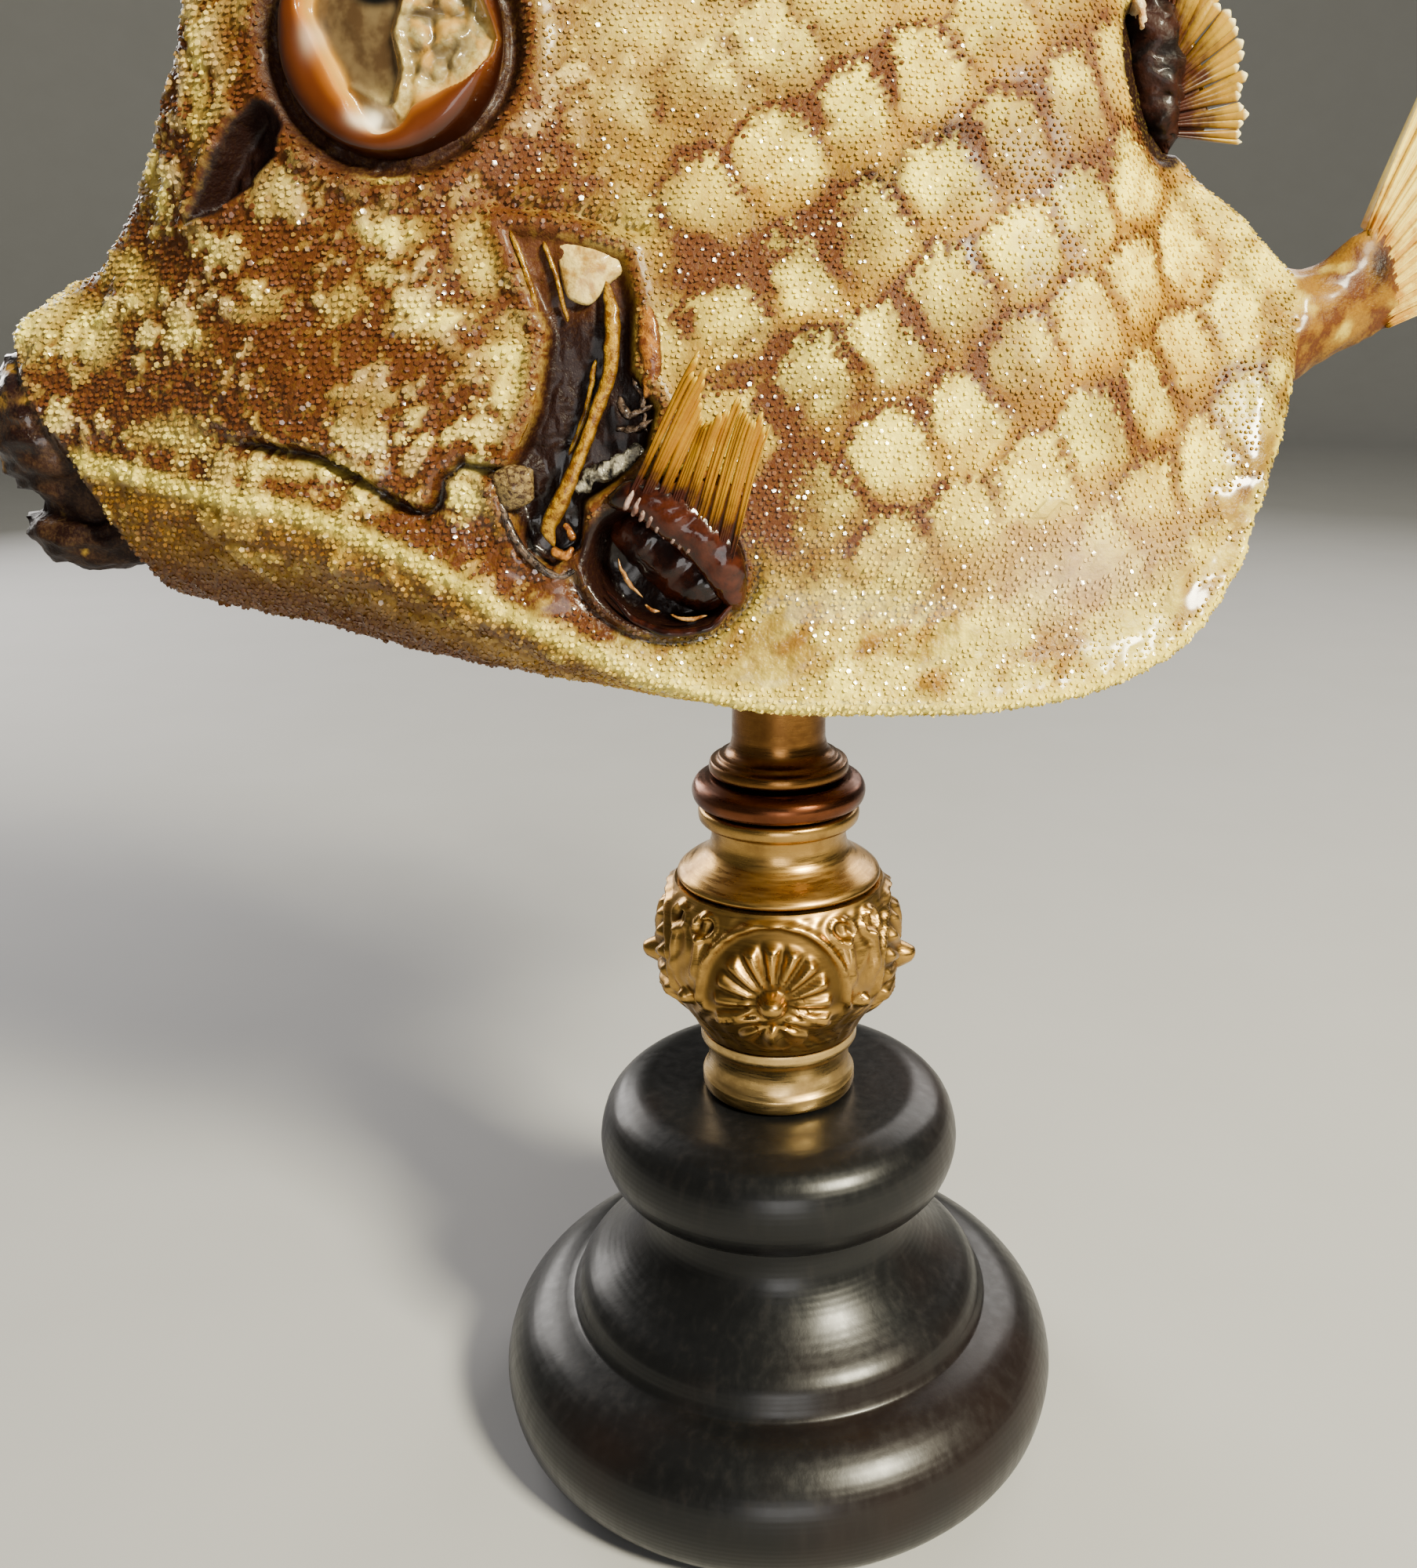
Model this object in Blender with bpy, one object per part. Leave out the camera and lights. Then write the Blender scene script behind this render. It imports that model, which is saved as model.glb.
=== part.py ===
"""A dried smooth trunkfish on a brass stem and a turned black wooden foot.

Z is up, with the origin on the stem's axis at the underside of the foot. The fish
looks along -X, its left flank faces -Y, and it is the same on both sides of Y = 0.
Sizes and places are given in millimetres and scaled to metres by MM.
"""

import math

import bmesh
import bpy
import numpy as np
from mathutils import Matrix, Vector

MM = 0.001
GAP = 0.3 * MM                      # clearance between pieces that touch

# Fish, along X ---------------------------------------------------------------------
SNOUT_X = -83.0 * MM                # foremost section of the carapace
GILL_X = -20.0 * MM                 # cut between head and trunk
REAR_X = 54.8 * MM                  # rear rim of the carapace
HEAD_STATIONS = 18
TRUNK_STATIONS = 19
BELLY_STEPS = 5                     # divisions of half a section
FLANK_STEPS = 10
ROOF_STEPS = 3

# Profiles of the carapace as (x, value) knots
TOP_LINE = ((-83, 140.5), (-78, 144.7), (-72.4, 147.3), (-67.2, 153.6), (-62.4, 161.5), (-59.0, 169.5),
            (-56.4, 177.5), (-51.2, 184.5), (-43.5, 189.8), (-33, 193.8), (-20, 196.6), (-6, 197.5),
            (6, 196.6), (16, 193.6), (25, 188.8), (31, 183.5), (35, 177.2), (37, 171), (39.3, 163.5),
            (42.8, 157.9), (48.8, 153.5), (54.8, 147.6))
BELLY_LINE = ((-83, 120), (-78, 115.4), (-73.4, 113.0), (-65.8, 111.8), (-49, 109.1), (-40, 106.7),
              (-30, 105.0), (-15, 103.7), (0, 103.2), (16, 103.4), (28, 104.2), (36, 106),
              (41, 108.3), (45, 112), (48, 116.5), (50, 122.5), (52.6, 128.5), (54.8, 134.2))
RIDGE_HALF_WIDTH = ((-83, 6.5), (-78, 8.5), (-72, 11), (-63.4, 14.5), (-51.7, 19.5), (-38.8, 23),
                    (-27.5, 25.5), (-15, 27), (0, 28), (16, 28), (28, 26.3), (36.3, 23.6),
                    (41, 21.8), (45, 19.8), (48, 17.6), (50.4, 15.2), (52.6, 12), (54.8, 6.8))
RIDGE_HEIGHT = ((-83, 130), (-78, 128.5), (-66.7, 127), (-60.7, 125.8), (-51.4, 124.8),
                (-42.8, 122.6), (-34.6, 119.4), (-27.5, 115.6), (-18.2, 111.2), (-7.2, 107.6),
                (0.5, 106), (16, 105.9), (28, 106.6), (36.3, 108.8), (41, 111.2), (45, 115),
                (48, 119.8), (50, 125.2), (52.6, 131.2), (54.8, 138))
ROOF_HALF_WIDTH = ((-83, 4), (-78, 5.5), (-73, 6.5), (-66, 8), (-60, 9.8), (-50, 11), (-36, 10.5),
                   (-24, 7.5), (-12, 4.2), (0, 2.6), (20, 2.2), (36, 2.2), (46, 3.2), (54.8, 4.6))
ROOF_RISE = ((-83, 2.5), (-73, 2.8), (-60, 3), (-40, 3.2), (-24, 3.6), (-12, 3.2), (0, 2.6),
             (36, 2.2), (54.8, 3.6))
FLANK_BULGE = ((-83, 0.8), (-70, 1.2), (-50, 1.5), (-30, 2.5), (-10, 3.4), (10, 3.6), (30, 2.8),
               (45, 1.5), (54.8, 0.8))
FLANK_HOLLOW = ((-83, 0), (-40, 0.2), (-20, 0.8), (0, 1.3), (30, 1.3), (45, 0.6), (54.8, 0))
BELLY_POWER = 3.2                   # how late the belly turns up to the ridge
HOLLOW_AT = 0.10                    # the hollow above the ridge, as a part of the flank
HOLLOW_REACH = 0.06

# Mouth: everything in front of a slanting plane belongs to the lips
MOUTH_TOP = (-83.3 * MM, 140.6 * MM)
MOUTH_BOTTOM = (-67.2 * MM, 111.5 * MM)
UPPER_LIP_CENTRE = (-77.9 * MM, 0, 130.4 * MM)
UPPER_LIP_RADII = (9.9 * MM, 9.2 * MM, 10.4 * MM)
LOWER_LIP_CENTRE = (-75.2 * MM, 0, 120.0 * MM)
LOWER_LIP_RADII = (10.6 * MM, 8.2 * MM, 5.8 * MM)
MOUTH_SLIT = ((-87.0 * MM, 122.8 * MM), (-74.0 * MM, 121.4 * MM))

# Eyes
EYE_CENTRE = (-36.2 * MM, 14.6 * MM, 167.2 * MM)
EYE_RADIUS = 10.9 * MM
EYE_HALF_DEPTH = 4.2 * MM
EYE_TURN = math.radians(9)          # towards the snout
EYE_LIFT = math.radians(9)          # towards the sky

# Pectoral fins and the pockets that they stand in
POCKET_CENTRE = (-11.3 * MM, 25.0 * MM, 119.6 * MM)
POCKET_RADII = (7.6 * MM, 3.6 * MM, 6.6 * MM)
PECTORAL_LOBE_CENTRE = (-9.6 * MM, 25.4 * MM, 121.7 * MM)
PECTORAL_LOBE_RADII = (4.3 * MM, 1.9 * MM, 2.7 * MM)
PECTORAL_ROOT = ((-12.8 * MM, 26.2 * MM, 125.0 * MM), (-4.6 * MM, 26.6 * MM, 120.6 * MM))
PECTORAL_RAY_TILTS = (64.8, 63.6, 62.4, 62.9, 62.7, 63.2, 60.7, 59.4)
PECTORAL_RAY_LENGTHS = (15.0, 13.3, 12.5, 13.1, 13.5, 14.0, 10.2, 5.7)
PECTORAL_FLARE = 0.17               # how far the tips lean out, as a part of the length

# Dorsal fin: a fleshy base in a hole of the ridge, long front rays, broken rear rays
DORSAL_LOBE_CENTRE = (38.9 * MM, 0, 165.0 * MM)
DORSAL_LOBE_RADII = (3.0 * MM, 2.9 * MM, 7.0 * MM)
DORSAL_LOBE_TILT = math.radians(-22)
DORSAL_ROOT = ((38.9 * MM, 0, 169.4 * MM), (41.2 * MM, 0, 160.6 * MM))
DORSAL_RAY_TILTS = (82, 78, 74, 70, 60, 40, 26, 13, 2, -5)
DORSAL_RAY_LENGTHS = (18.0, 20.0, 19.5, 17.0, 9.5, 9.3, 8.6, 8.3, 8.4, 7.4)

# Anal fin: dried down to a stub between the rear ends of the ridges
ANAL_ROOT = ((49.7 * MM, 0, 119.2 * MM), (52.1 * MM, 0, 125.6 * MM))
ANAL_RAY_TILTS = (-36, -32, -28, -24, -20)
ANAL_RAY_LENGTHS = (2.0, 2.5, 2.3, 2.4, 1.8)

# Tail: stations of the stalk as (x, z, half height, half width, tilt in degrees)
STALK_STATIONS = ((55.1, 140.8, 6.4, 6.4, 0), (57.6, 141.9, 5.7, 5.2, 7), (60.3, 143.5, 5.3, 4.0, 12),
                  (63.0, 145.4, 5.7, 2.9, 16), (64.4, 146.4, 5.9, 2.3, 18))
TAIL_ROOT = ((63.2 * MM, 0, 151.9 * MM), (66.5 * MM, 0, 141.5 * MM))
TAIL_RAY_TILTS = (72, 66.5, 61, 55.5, 50, 44.5, 39, 34, 29, 24)
TAIL_RAY_LENGTHS = (32.0, 33.6, 34.2, 34.8, 35.0, 34.8, 34.4, 33.6, 32.4, 30.6)

# Stand: turned profiles as (radius, height)
FOOT_PROFILE = ((31.5, 0), (34.4, 1.6), (36.3, 4.6), (36.8, 8.2), (36.1, 11.6), (33.8, 14.9),
                (30.4, 17.0), (27.6, 17.6), (26.9, 18.6), (26.6, 20.2), (23.6, 22.6), (19.8, 26.2),
                (17.4, 30.6), (17.0, 34.4), (19.8, 35.4), (22.2, 37.6), (23.1, 41.2), (22.4, 44.6),
                (20.4, 47.0), (17.6, 48.0))
COLLAR_PROFILE = ((9.3, 48.3), (9.7, 48.9), (9.7, 50.2), (9.2, 51.0), (8.9, 52.6), (9.2, 54.4),
                  (9.9, 55.2), (9.9, 56.7))
BALL_PROFILE = ((10.0, 57.0), (11.0, 59.0), (12.9, 61.8), (14.5, 64.6), (15.3, 67.7), (15.0, 71.0),
                (14.1, 74.0), (12.8, 76.8))
NECK_PROFILE = ((12.5, 77.1), (11.6, 78.4), (9.6, 79.7), (8.5, 81.0), (8.2, 82.4), (8.4, 83.9),
                (9.3, 84.5), (9.8, 85.3), (9.3, 86.2))
RING_PROFILE = ((9.2, 86.5), (10.2, 87.0), (10.5, 88.1), (10.0, 89.3), (8.7, 89.9))
STEM_PROFILE = ((7.9, 90.2), (8.4, 90.8), (8.2, 91.8), (7.4, 92.4), (6.5, 92.7), (5.8, 93.6),
                (5.5, 95.4), (5.5, 102.9))
KNOB_COUNT = 4
KNOB_RADIUS = 1.7 * MM
KNOB_RING_RADIUS = 15.6 * MM
KNOB_HEIGHT = 64.4 * MM
FOOT_SEGMENTS = 32
BRASS_SEGMENTS = 24


def smooth_profile(knots):
    """A smooth function of x, in metres, through (x, value) knots in millimetres."""
    xs = np.array([knot[0] for knot in knots]) * MM
    values = np.array([knot[1] for knot in knots]) * MM
    steps = np.diff(xs)
    secants = np.diff(values) / steps
    slopes = np.zeros(len(xs))
    slopes[0] = secants[0]
    slopes[-1] = secants[-1]
    for i in range(1, len(xs) - 1):
        before = secants[i - 1]
        after = secants[i]
        if before * after > 0:
            slopes[i] = 2 * before * after / (before + after)

    def value(x):
        i = int(np.clip(np.searchsorted(xs, x) - 1, 0, len(steps) - 1))
        t = (x - xs[i]) / steps[i]
        rise = (1 - t) ** 2 * (1 + 2 * t) * values[i] + t * t * (3 - 2 * t) * values[i + 1]
        lean = steps[i] * (t * (1 - t) ** 2 * slopes[i] - t * t * (1 - t) * slopes[i + 1])
        return rise + lean

    return value


top_line = smooth_profile(TOP_LINE)
belly_line = smooth_profile(BELLY_LINE)
ridge_half_width = smooth_profile(RIDGE_HALF_WIDTH)
ridge_height = smooth_profile(RIDGE_HEIGHT)
roof_half_width = smooth_profile(ROOF_HALF_WIDTH)
roof_rise = smooth_profile(ROOF_RISE)
flank_bulge = smooth_profile(FLANK_BULGE)
flank_hollow = smooth_profile(FLANK_HOLLOW)


def half_section(x):
    """Points (y, z) of the right half of the carapace at x, from belly to top."""
    width = ridge_half_width(x)
    ridge = ridge_height(x)
    belly = belly_line(x)
    roof = roof_half_width(x)
    rise = roof_rise(x)
    corner = top_line(x) - rise
    points = []
    for i in range(BELLY_STEPS):
        s = math.sin(i / BELLY_STEPS * math.pi / 2)
        points.append((width * s, belly + (ridge - belly) * s ** BELLY_POWER * 0.75))
    for i in range(FLANK_STEPS):
        t = (i / FLANK_STEPS) ** 1.2
        bulge = flank_bulge(x) * math.sin(math.pi * t)
        hollow = flank_hollow(x) * math.exp(-((t - HOLLOW_AT) / HOLLOW_REACH) ** 2)
        points.append((width + (roof - width) * t + bulge - hollow, ridge + (corner - ridge) * t))
    for i in range(ROOF_STEPS + 1):
        turn = i / ROOF_STEPS * math.pi / 2
        points.append((roof * math.cos(turn), corner + rise * math.sin(turn)))
    return points


def closed_section(x):
    """The whole closed section at x, from the belly up the right side and down the left."""
    half = half_section(x)
    ring = [Vector((x, y, z)) for y, z in half]
    ring += [Vector((x, -y, z)) for y, z in reversed(half[1:-1])]
    return ring


def finish_object(name, mesh, material):
    """Make an object of the mesh, with its material and smooth round faces."""
    mesh.materials.append(material)
    mesh.shade_smooth()
    mesh.set_sharp_from_angle(angle=math.radians(40))
    obj = bpy.data.objects.new(name, mesh)
    bpy.context.collection.objects.link(obj)
    return obj


def mesh_from_bmesh(name, bm):
    """Turn a bmesh into a mesh whose faces point outwards."""
    bmesh.ops.recalc_face_normals(bm, faces=bm.faces)
    mesh = bpy.data.meshes.new(name)
    bm.to_mesh(mesh)
    bm.free()
    return mesh


def add_rings(bm, rings):
    """Join a list of equal closed rings of points into a tube with capped ends."""
    loops = [[bm.verts.new(point) for point in ring] for ring in rings]
    for low, high in zip(loops[:-1], loops[1:]):
        count = len(low)
        for i in range(count):
            after = (i + 1) % count
            bm.faces.new((low[i], low[after], high[after], high[i]))
    bm.faces.new(loops[0])
    bm.faces.new(loops[-1])


def loft(name, rings, material):
    """A solid through a list of closed rings."""
    bm = bmesh.new()
    add_rings(bm, rings)
    return finish_object(name, mesh_from_bmesh(name, bm), material)


def turned(name, profile, material, segments):
    """A solid turned about the Z axis from a (radius, height) profile in millimetres."""
    rings = []
    for radius, height in profile:
        turns = [2 * math.pi * i / segments for i in range(segments)]
        rings.append([Vector((radius * MM * math.cos(a), radius * MM * math.sin(a), height * MM))
                      for a in turns])
    return loft(name, rings, material)


def ellipsoid(name, centre, radii, material, turn=Matrix.Identity(4), segments=20, rings=12):
    """A ball stretched to three radii, turned and moved to its centre."""
    bm = bmesh.new()
    bmesh.ops.create_uvsphere(bm, u_segments=segments, v_segments=rings, radius=1.0)
    bmesh.ops.transform(bm, matrix=Matrix.Diagonal((*radii, 1)), verts=bm.verts)
    bmesh.ops.transform(bm, matrix=Matrix.Translation(centre) @ turn, verts=bm.verts)
    return finish_object(name, mesh_from_bmesh(name, bm), material)


def cut_flat(obj, point, normal):
    """Cut away the side of the object that the normal points to, and close the cut."""
    bm = bmesh.new()
    bm.from_mesh(obj.data)
    everything = list(bm.verts) + list(bm.edges) + list(bm.faces)
    cut = bmesh.ops.bisect_plane(bm, geom=everything, plane_co=point, plane_no=normal,
                                 clear_outer=True)
    edges = [item for item in cut["geom_cut"] if isinstance(item, bmesh.types.BMEdge)]
    bmesh.ops.contextual_create(bm, geom=edges)
    bmesh.ops.recalc_face_normals(bm, faces=bm.faces)
    bm.to_mesh(obj.data)
    bm.free()
    obj.data.shade_smooth()
    obj.data.set_sharp_from_angle(angle=math.radians(40))


def combine(obj, other, operation):
    """Apply a Boolean of the other object to the object, and remove the other."""
    modifier = obj.modifiers.new(operation.title(), "BOOLEAN")
    modifier.operation = operation
    modifier.object = other
    bpy.context.view_layer.update()
    result = bpy.data.meshes.new_from_object(obj.evaluated_get(bpy.context.evaluated_depsgraph_get()))
    obj.modifiers.clear()
    obj.data = result
    bpy.data.objects.remove(other)


def fin_blade(name, root, tilts, lengths, lean, thickness, material, steps=4):
    """A fan of rays from a root line: tilts in degrees from +X, lengths in millimetres."""
    start = Vector(root[0])
    end = Vector(root[1])
    count = len(tilts)
    sides = ([], [])
    for i in range(count):
        foot = start.lerp(end, i / (count - 1))
        angle = math.radians(tilts[i])
        along = Vector((math.cos(angle), lean, math.sin(angle))) * lengths[i] * MM
        for side, sign in zip(sides, (1, -1)):
            row = []
            for j in range(steps + 1):
                part = j / steps
                half = (thickness[0] + (thickness[1] - thickness[0]) * part) / 2
                row.append(foot + along * part + Vector((0, sign * half, 0)))
            side.append(row)
    bm = bmesh.new()
    grids = [[[bm.verts.new(point) for point in row] for row in side] for side in sides]
    front, back = grids
    for grid in grids:
        for i in range(count - 1):
            for j in range(steps):
                bm.faces.new((grid[i][j], grid[i + 1][j], grid[i + 1][j + 1], grid[i][j + 1]))
    for i in range(count - 1):
        bm.faces.new((front[i][0], front[i + 1][0], back[i + 1][0], back[i][0]))
        bm.faces.new((front[i][steps], front[i + 1][steps], back[i + 1][steps], back[i][steps]))
    for j in range(steps):
        bm.faces.new((front[0][j], front[0][j + 1], back[0][j + 1], back[0][j]))
        bm.faces.new((front[-1][j], front[-1][j + 1], back[-1][j + 1], back[-1][j]))
    return finish_object(name, mesh_from_bmesh(name, bm), material)


def surface(name, color, roughness, metallic=0.0):
    """A plain material."""
    material = bpy.data.materials.new(name)
    material.use_nodes = True
    shader = material.node_tree.nodes["Principled BSDF"]
    shader.inputs["Base Color"].default_value = (*color, 1)
    shader.inputs["Roughness"].default_value = roughness
    shader.inputs["Metallic"].default_value = metallic
    return material


def mirrored(vector, side):
    """The vector on the right side (1) or the left side (-1) of the fish."""
    return Vector((vector[0], side * vector[1], vector[2]))


def stations(start, end, count):
    """Positions from start to end, closer together towards both ends."""
    spread = [(1 - math.cos(math.pi * i / (count - 1))) / 2 for i in range(count)]
    even = [i / (count - 1) for i in range(count)]
    return [start + (end - start) * (a + b) / 2 for a, b in zip(spread, even)]


def build_stand():
    """The wooden foot, the brass pieces of the stem and the dark ring between them."""
    wood = surface("ebonised_wood", (0.012, 0.010, 0.009), 0.35)
    brass = surface("brass", (0.50, 0.34, 0.13), 0.34, 1.0)
    lacquer = surface("dark_ring", (0.055, 0.022, 0.012), 0.3)
    turned("foot", FOOT_PROFILE, wood, FOOT_SEGMENTS)
    turned("stem_collar", COLLAR_PROFILE, brass, BRASS_SEGMENTS)
    ball = turned("stem_ball", BALL_PROFILE, brass, BRASS_SEGMENTS)
    for i in range(KNOB_COUNT):
        angle = 2 * math.pi * i / KNOB_COUNT
        centre = Vector((math.cos(angle), math.sin(angle), 0)) * KNOB_RING_RADIUS
        centre.z = KNOB_HEIGHT
        knob = ellipsoid("knob", centre, [KNOB_RADIUS] * 3, brass, segments=8, rings=5)
        combine(ball, knob, "UNION")
    turned("stem_neck", NECK_PROFILE, brass, BRASS_SEGMENTS)
    turned("stem_ring", RING_PROFILE, lacquer, BRASS_SEGMENTS)
    turned("stem_rod", STEM_PROFILE, brass, BRASS_SEGMENTS)


def mouth_plane():
    """A point on the slanting mouth plane and its normal, which points out of the mouth."""
    top = Vector((MOUTH_TOP[0], 0, MOUTH_TOP[1]))
    bottom = Vector((MOUTH_BOTTOM[0], 0, MOUTH_BOTTOM[1]))
    return top, Vector((0, 1, 0)).cross(bottom - top).normalized()


def eye_turn(side):
    """The rotation that turns the flat of an eye to the flank of its side."""
    turn = Matrix.Rotation(side * EYE_TURN, 4, "Z")
    return turn @ Matrix.Rotation(side * EYE_LIFT, 4, "X")


def build_head(skin):
    """The head with its eye sockets, its lips and its eyes."""
    lip = surface("lip", (0.075, 0.045, 0.03), 0.4)
    amber = surface("eye", (0.36, 0.21, 0.08), 0.2)
    head = loft("head", [closed_section(x) for x in stations(SNOUT_X, GILL_X - GAP / 2, HEAD_STATIONS)],
                skin)
    point, normal = mouth_plane()
    cut_flat(head, point, normal)
    for side, name in ((-1, "eye_left"), (1, "eye_right")):
        centre = mirrored(EYE_CENTRE, side)
        radii = (EYE_RADIUS, EYE_HALF_DEPTH, EYE_RADIUS)
        socket = ellipsoid("socket", centre, [r + GAP for r in radii], skin, eye_turn(side), 20, 9)
        combine(head, socket, "DIFFERENCE")
        ellipsoid(name, centre, radii, amber, eye_turn(side), 20, 9)

    slit_start = Vector((MOUTH_SLIT[0][0], 0, MOUTH_SLIT[0][1]))
    slit_end = Vector((MOUTH_SLIT[1][0], 0, MOUTH_SLIT[1][1]))
    up = Vector((0, -1, 0)).cross(slit_end - slit_start).normalized()
    if up.z < 0:
        up.negate()
    upper = ellipsoid("upper_lip", UPPER_LIP_CENTRE, UPPER_LIP_RADII, lip)
    cut_flat(upper, point + normal * GAP, -normal)
    cut_flat(upper, slit_start + up * GAP, -up)
    lower = ellipsoid("lower_lip", LOWER_LIP_CENTRE, LOWER_LIP_RADII, lip)
    cut_flat(lower, point + normal * GAP, -normal)
    cut_flat(lower, slit_start - up * GAP, up)


def build_trunk(skin, fin):
    """The trunk with its pockets, and the fins that stand in them."""
    trunk = loft("trunk", [closed_section(x) for x in stations(GILL_X + GAP / 2, REAR_X, TRUNK_STATIONS)],
                 skin)
    for side, name in ((-1, "pectoral_fin_left"), (1, "pectoral_fin_right")):
        pocket = ellipsoid("pocket", mirrored(POCKET_CENTRE, side), POCKET_RADII, skin)
        combine(trunk, pocket, "DIFFERENCE")
        root = [mirrored(point, side) for point in PECTORAL_ROOT]
        blade = fin_blade(name, root, PECTORAL_RAY_TILTS, PECTORAL_RAY_LENGTHS,
                          side * PECTORAL_FLARE, (1.8 * MM, 0.7 * MM), fin)
        lobe = ellipsoid("lobe", mirrored(PECTORAL_LOBE_CENTRE, side), PECTORAL_LOBE_RADII, fin,
                         segments=14, rings=8)
        combine(blade, lobe, "UNION")

    tilt = Matrix.Rotation(DORSAL_LOBE_TILT, 4, "Y")
    hole = ellipsoid("hole", DORSAL_LOBE_CENTRE, [r + GAP for r in DORSAL_LOBE_RADII], skin, tilt)
    combine(trunk, hole, "DIFFERENCE")
    blade = fin_blade("dorsal_fin", DORSAL_ROOT, DORSAL_RAY_TILTS, DORSAL_RAY_LENGTHS, 0,
                      (3.0 * MM, 0.8 * MM), fin)
    lobe = ellipsoid("lobe", DORSAL_LOBE_CENTRE, DORSAL_LOBE_RADII, fin, tilt, 14, 8)
    combine(blade, lobe, "UNION")


def build_tail(skin, fin):
    """The stalk of the tail, the tail fin and the stub of the anal fin."""
    rings = []
    for x, z, half_height, half_width, tilt in STALK_STATIONS:
        up = Vector((-math.sin(math.radians(tilt)), 0, math.cos(math.radians(tilt))))
        centre = Vector((x, 0, z)) * MM
        turns = [2 * math.pi * i / 20 for i in range(20)]
        rings.append([centre + up * half_height * MM * math.sin(a)
                      + Vector((0, half_width * MM * math.cos(a), 0)) for a in turns])
    loft("tail_stalk", rings, skin)
    fin_blade("tail_fin", TAIL_ROOT, TAIL_RAY_TILTS, TAIL_RAY_LENGTHS, 0, (3.0 * MM, 0.8 * MM), fin)
    fin_blade("anal_fin", ANAL_ROOT, ANAL_RAY_TILTS, ANAL_RAY_LENGTHS, 0, (2.4 * MM, 1.2 * MM), fin,
              steps=2)


def build():
    """Clear the scene and build the whole specimen."""
    for obj in list(bpy.data.objects):
        bpy.data.objects.remove(obj)
    skin = surface("dried_skin", (0.42, 0.27, 0.12), 0.38)
    fin = surface("dried_fin", (0.55, 0.30, 0.07), 0.4)
    build_stand()
    build_head(skin)
    build_trunk(skin, fin)
    build_tail(skin, fin)


build()
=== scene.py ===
from contextlib import contextmanager
from itertools import product
import math
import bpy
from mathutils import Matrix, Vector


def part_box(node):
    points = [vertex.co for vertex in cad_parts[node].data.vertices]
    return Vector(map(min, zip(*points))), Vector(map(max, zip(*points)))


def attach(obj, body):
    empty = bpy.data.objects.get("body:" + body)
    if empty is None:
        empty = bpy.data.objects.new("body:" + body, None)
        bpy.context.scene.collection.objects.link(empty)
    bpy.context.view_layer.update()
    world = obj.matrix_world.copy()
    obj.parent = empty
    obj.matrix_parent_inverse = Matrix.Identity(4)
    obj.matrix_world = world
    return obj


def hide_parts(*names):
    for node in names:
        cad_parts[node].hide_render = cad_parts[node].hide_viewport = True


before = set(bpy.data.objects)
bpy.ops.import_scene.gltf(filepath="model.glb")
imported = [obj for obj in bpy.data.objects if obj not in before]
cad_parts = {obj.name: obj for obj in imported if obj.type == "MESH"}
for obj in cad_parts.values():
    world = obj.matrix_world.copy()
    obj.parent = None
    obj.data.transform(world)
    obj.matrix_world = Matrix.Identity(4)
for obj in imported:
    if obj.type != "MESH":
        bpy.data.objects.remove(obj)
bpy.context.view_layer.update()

from types import SimpleNamespace

import bpy
import numpy as np
from mathutils import Matrix, Vector
from mathutils.bvhtree import BVHTree

bl_info = {
    "name": "Mounted trunkfish",
    "version": (1, 0, 0),
    "blender": (4, 5, 0),
    "location": "3D View > Sidebar > Trunkfish",
    "description": "A varnished dried trunkfish on a brass stem and a black turned foot",
    "category": "Add Mesh",
}

MM = 0.001
QUARTER = math.pi / 2
ASIDE = np.array((0.0, 1.0, 0.0))
SIDES = ((-1, "left"), (1, "right"))

# ==== The fish's outline ====
# Places are in millimetres: X runs from snout to tail, Y is the fish's own right, and Z is up
# from the underside of the foot.

SNOUT_X = -83.0
HEAD_END_X = -20.0
REAR_X = 54.8
HALF_GIRTH = 132.0
TOP_LINE = ((-83, 140.5), (-78, 144.7), (-72.4, 147.3), (-67.2, 153.6), (-62.4, 161.5), (-59, 169.5),
    (-56.4, 177.5), (-51.2, 184.5), (-43.5, 189.8), (-33, 193.8), (-20, 196.6), (-6, 197.5),
    (6, 196.6), (16, 193.6), (25, 188.8), (31, 183.5), (35, 177.2), (37, 171), (39.3, 163.5),
    (42.8, 157.9), (48.8, 153.5), (54.8, 147.6))
BELLY_LINE = ((-83, 120), (-78, 115.4), (-73.4, 113), (-65.8, 111.8), (-49, 109.1), (-40, 106.7),
    (-30, 105), (-15, 103.7), (0, 103.2), (16, 103.4), (28, 104.2), (36, 106), (41, 108.3),
    (45, 112), (48, 116.5), (50, 122.5), (52.6, 128.5), (54.8, 134.2))
RIDGE_HALF_WIDTH = (
    (-83, 6.5), (-78, 8.5), (-72, 11), (-63.4, 14.5), (-51.7, 19.5), (-38.8, 23), (-27.5, 25.5),
    (-15, 27), (0, 28), (16, 28), (28, 26.3), (36.3, 23.6), (41, 21.8), (45, 19.8), (48, 17.6),
    (50.4, 15.2), (52.6, 12), (54.8, 6.8))
RIDGE_HEIGHT = ((-83, 130), (-78, 128.5), (-66.7, 127), (-60.7, 125.8), (-51.4, 124.8), (-42.8, 122.6),
    (-34.6, 119.4), (-27.5, 115.6), (-18.2, 111.2), (-7.2, 107.6), (0.5, 106), (16, 105.9),
    (28, 106.6), (36.3, 108.8), (41, 111.2), (45, 115), (48, 119.8), (50, 125.2), (52.6, 131.2),
    (54.8, 138))
ROOF_HALF_WIDTH = (
    (-83, 4), (-78, 5.5), (-73, 6.5), (-66, 8), (-60, 9.8), (-50, 11), (-36, 10.5), (-24, 7.5),
    (-12, 4.2), (0, 2.6), (20, 2.2), (36, 2.2), (46, 3.2), (54.8, 4.6))
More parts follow.
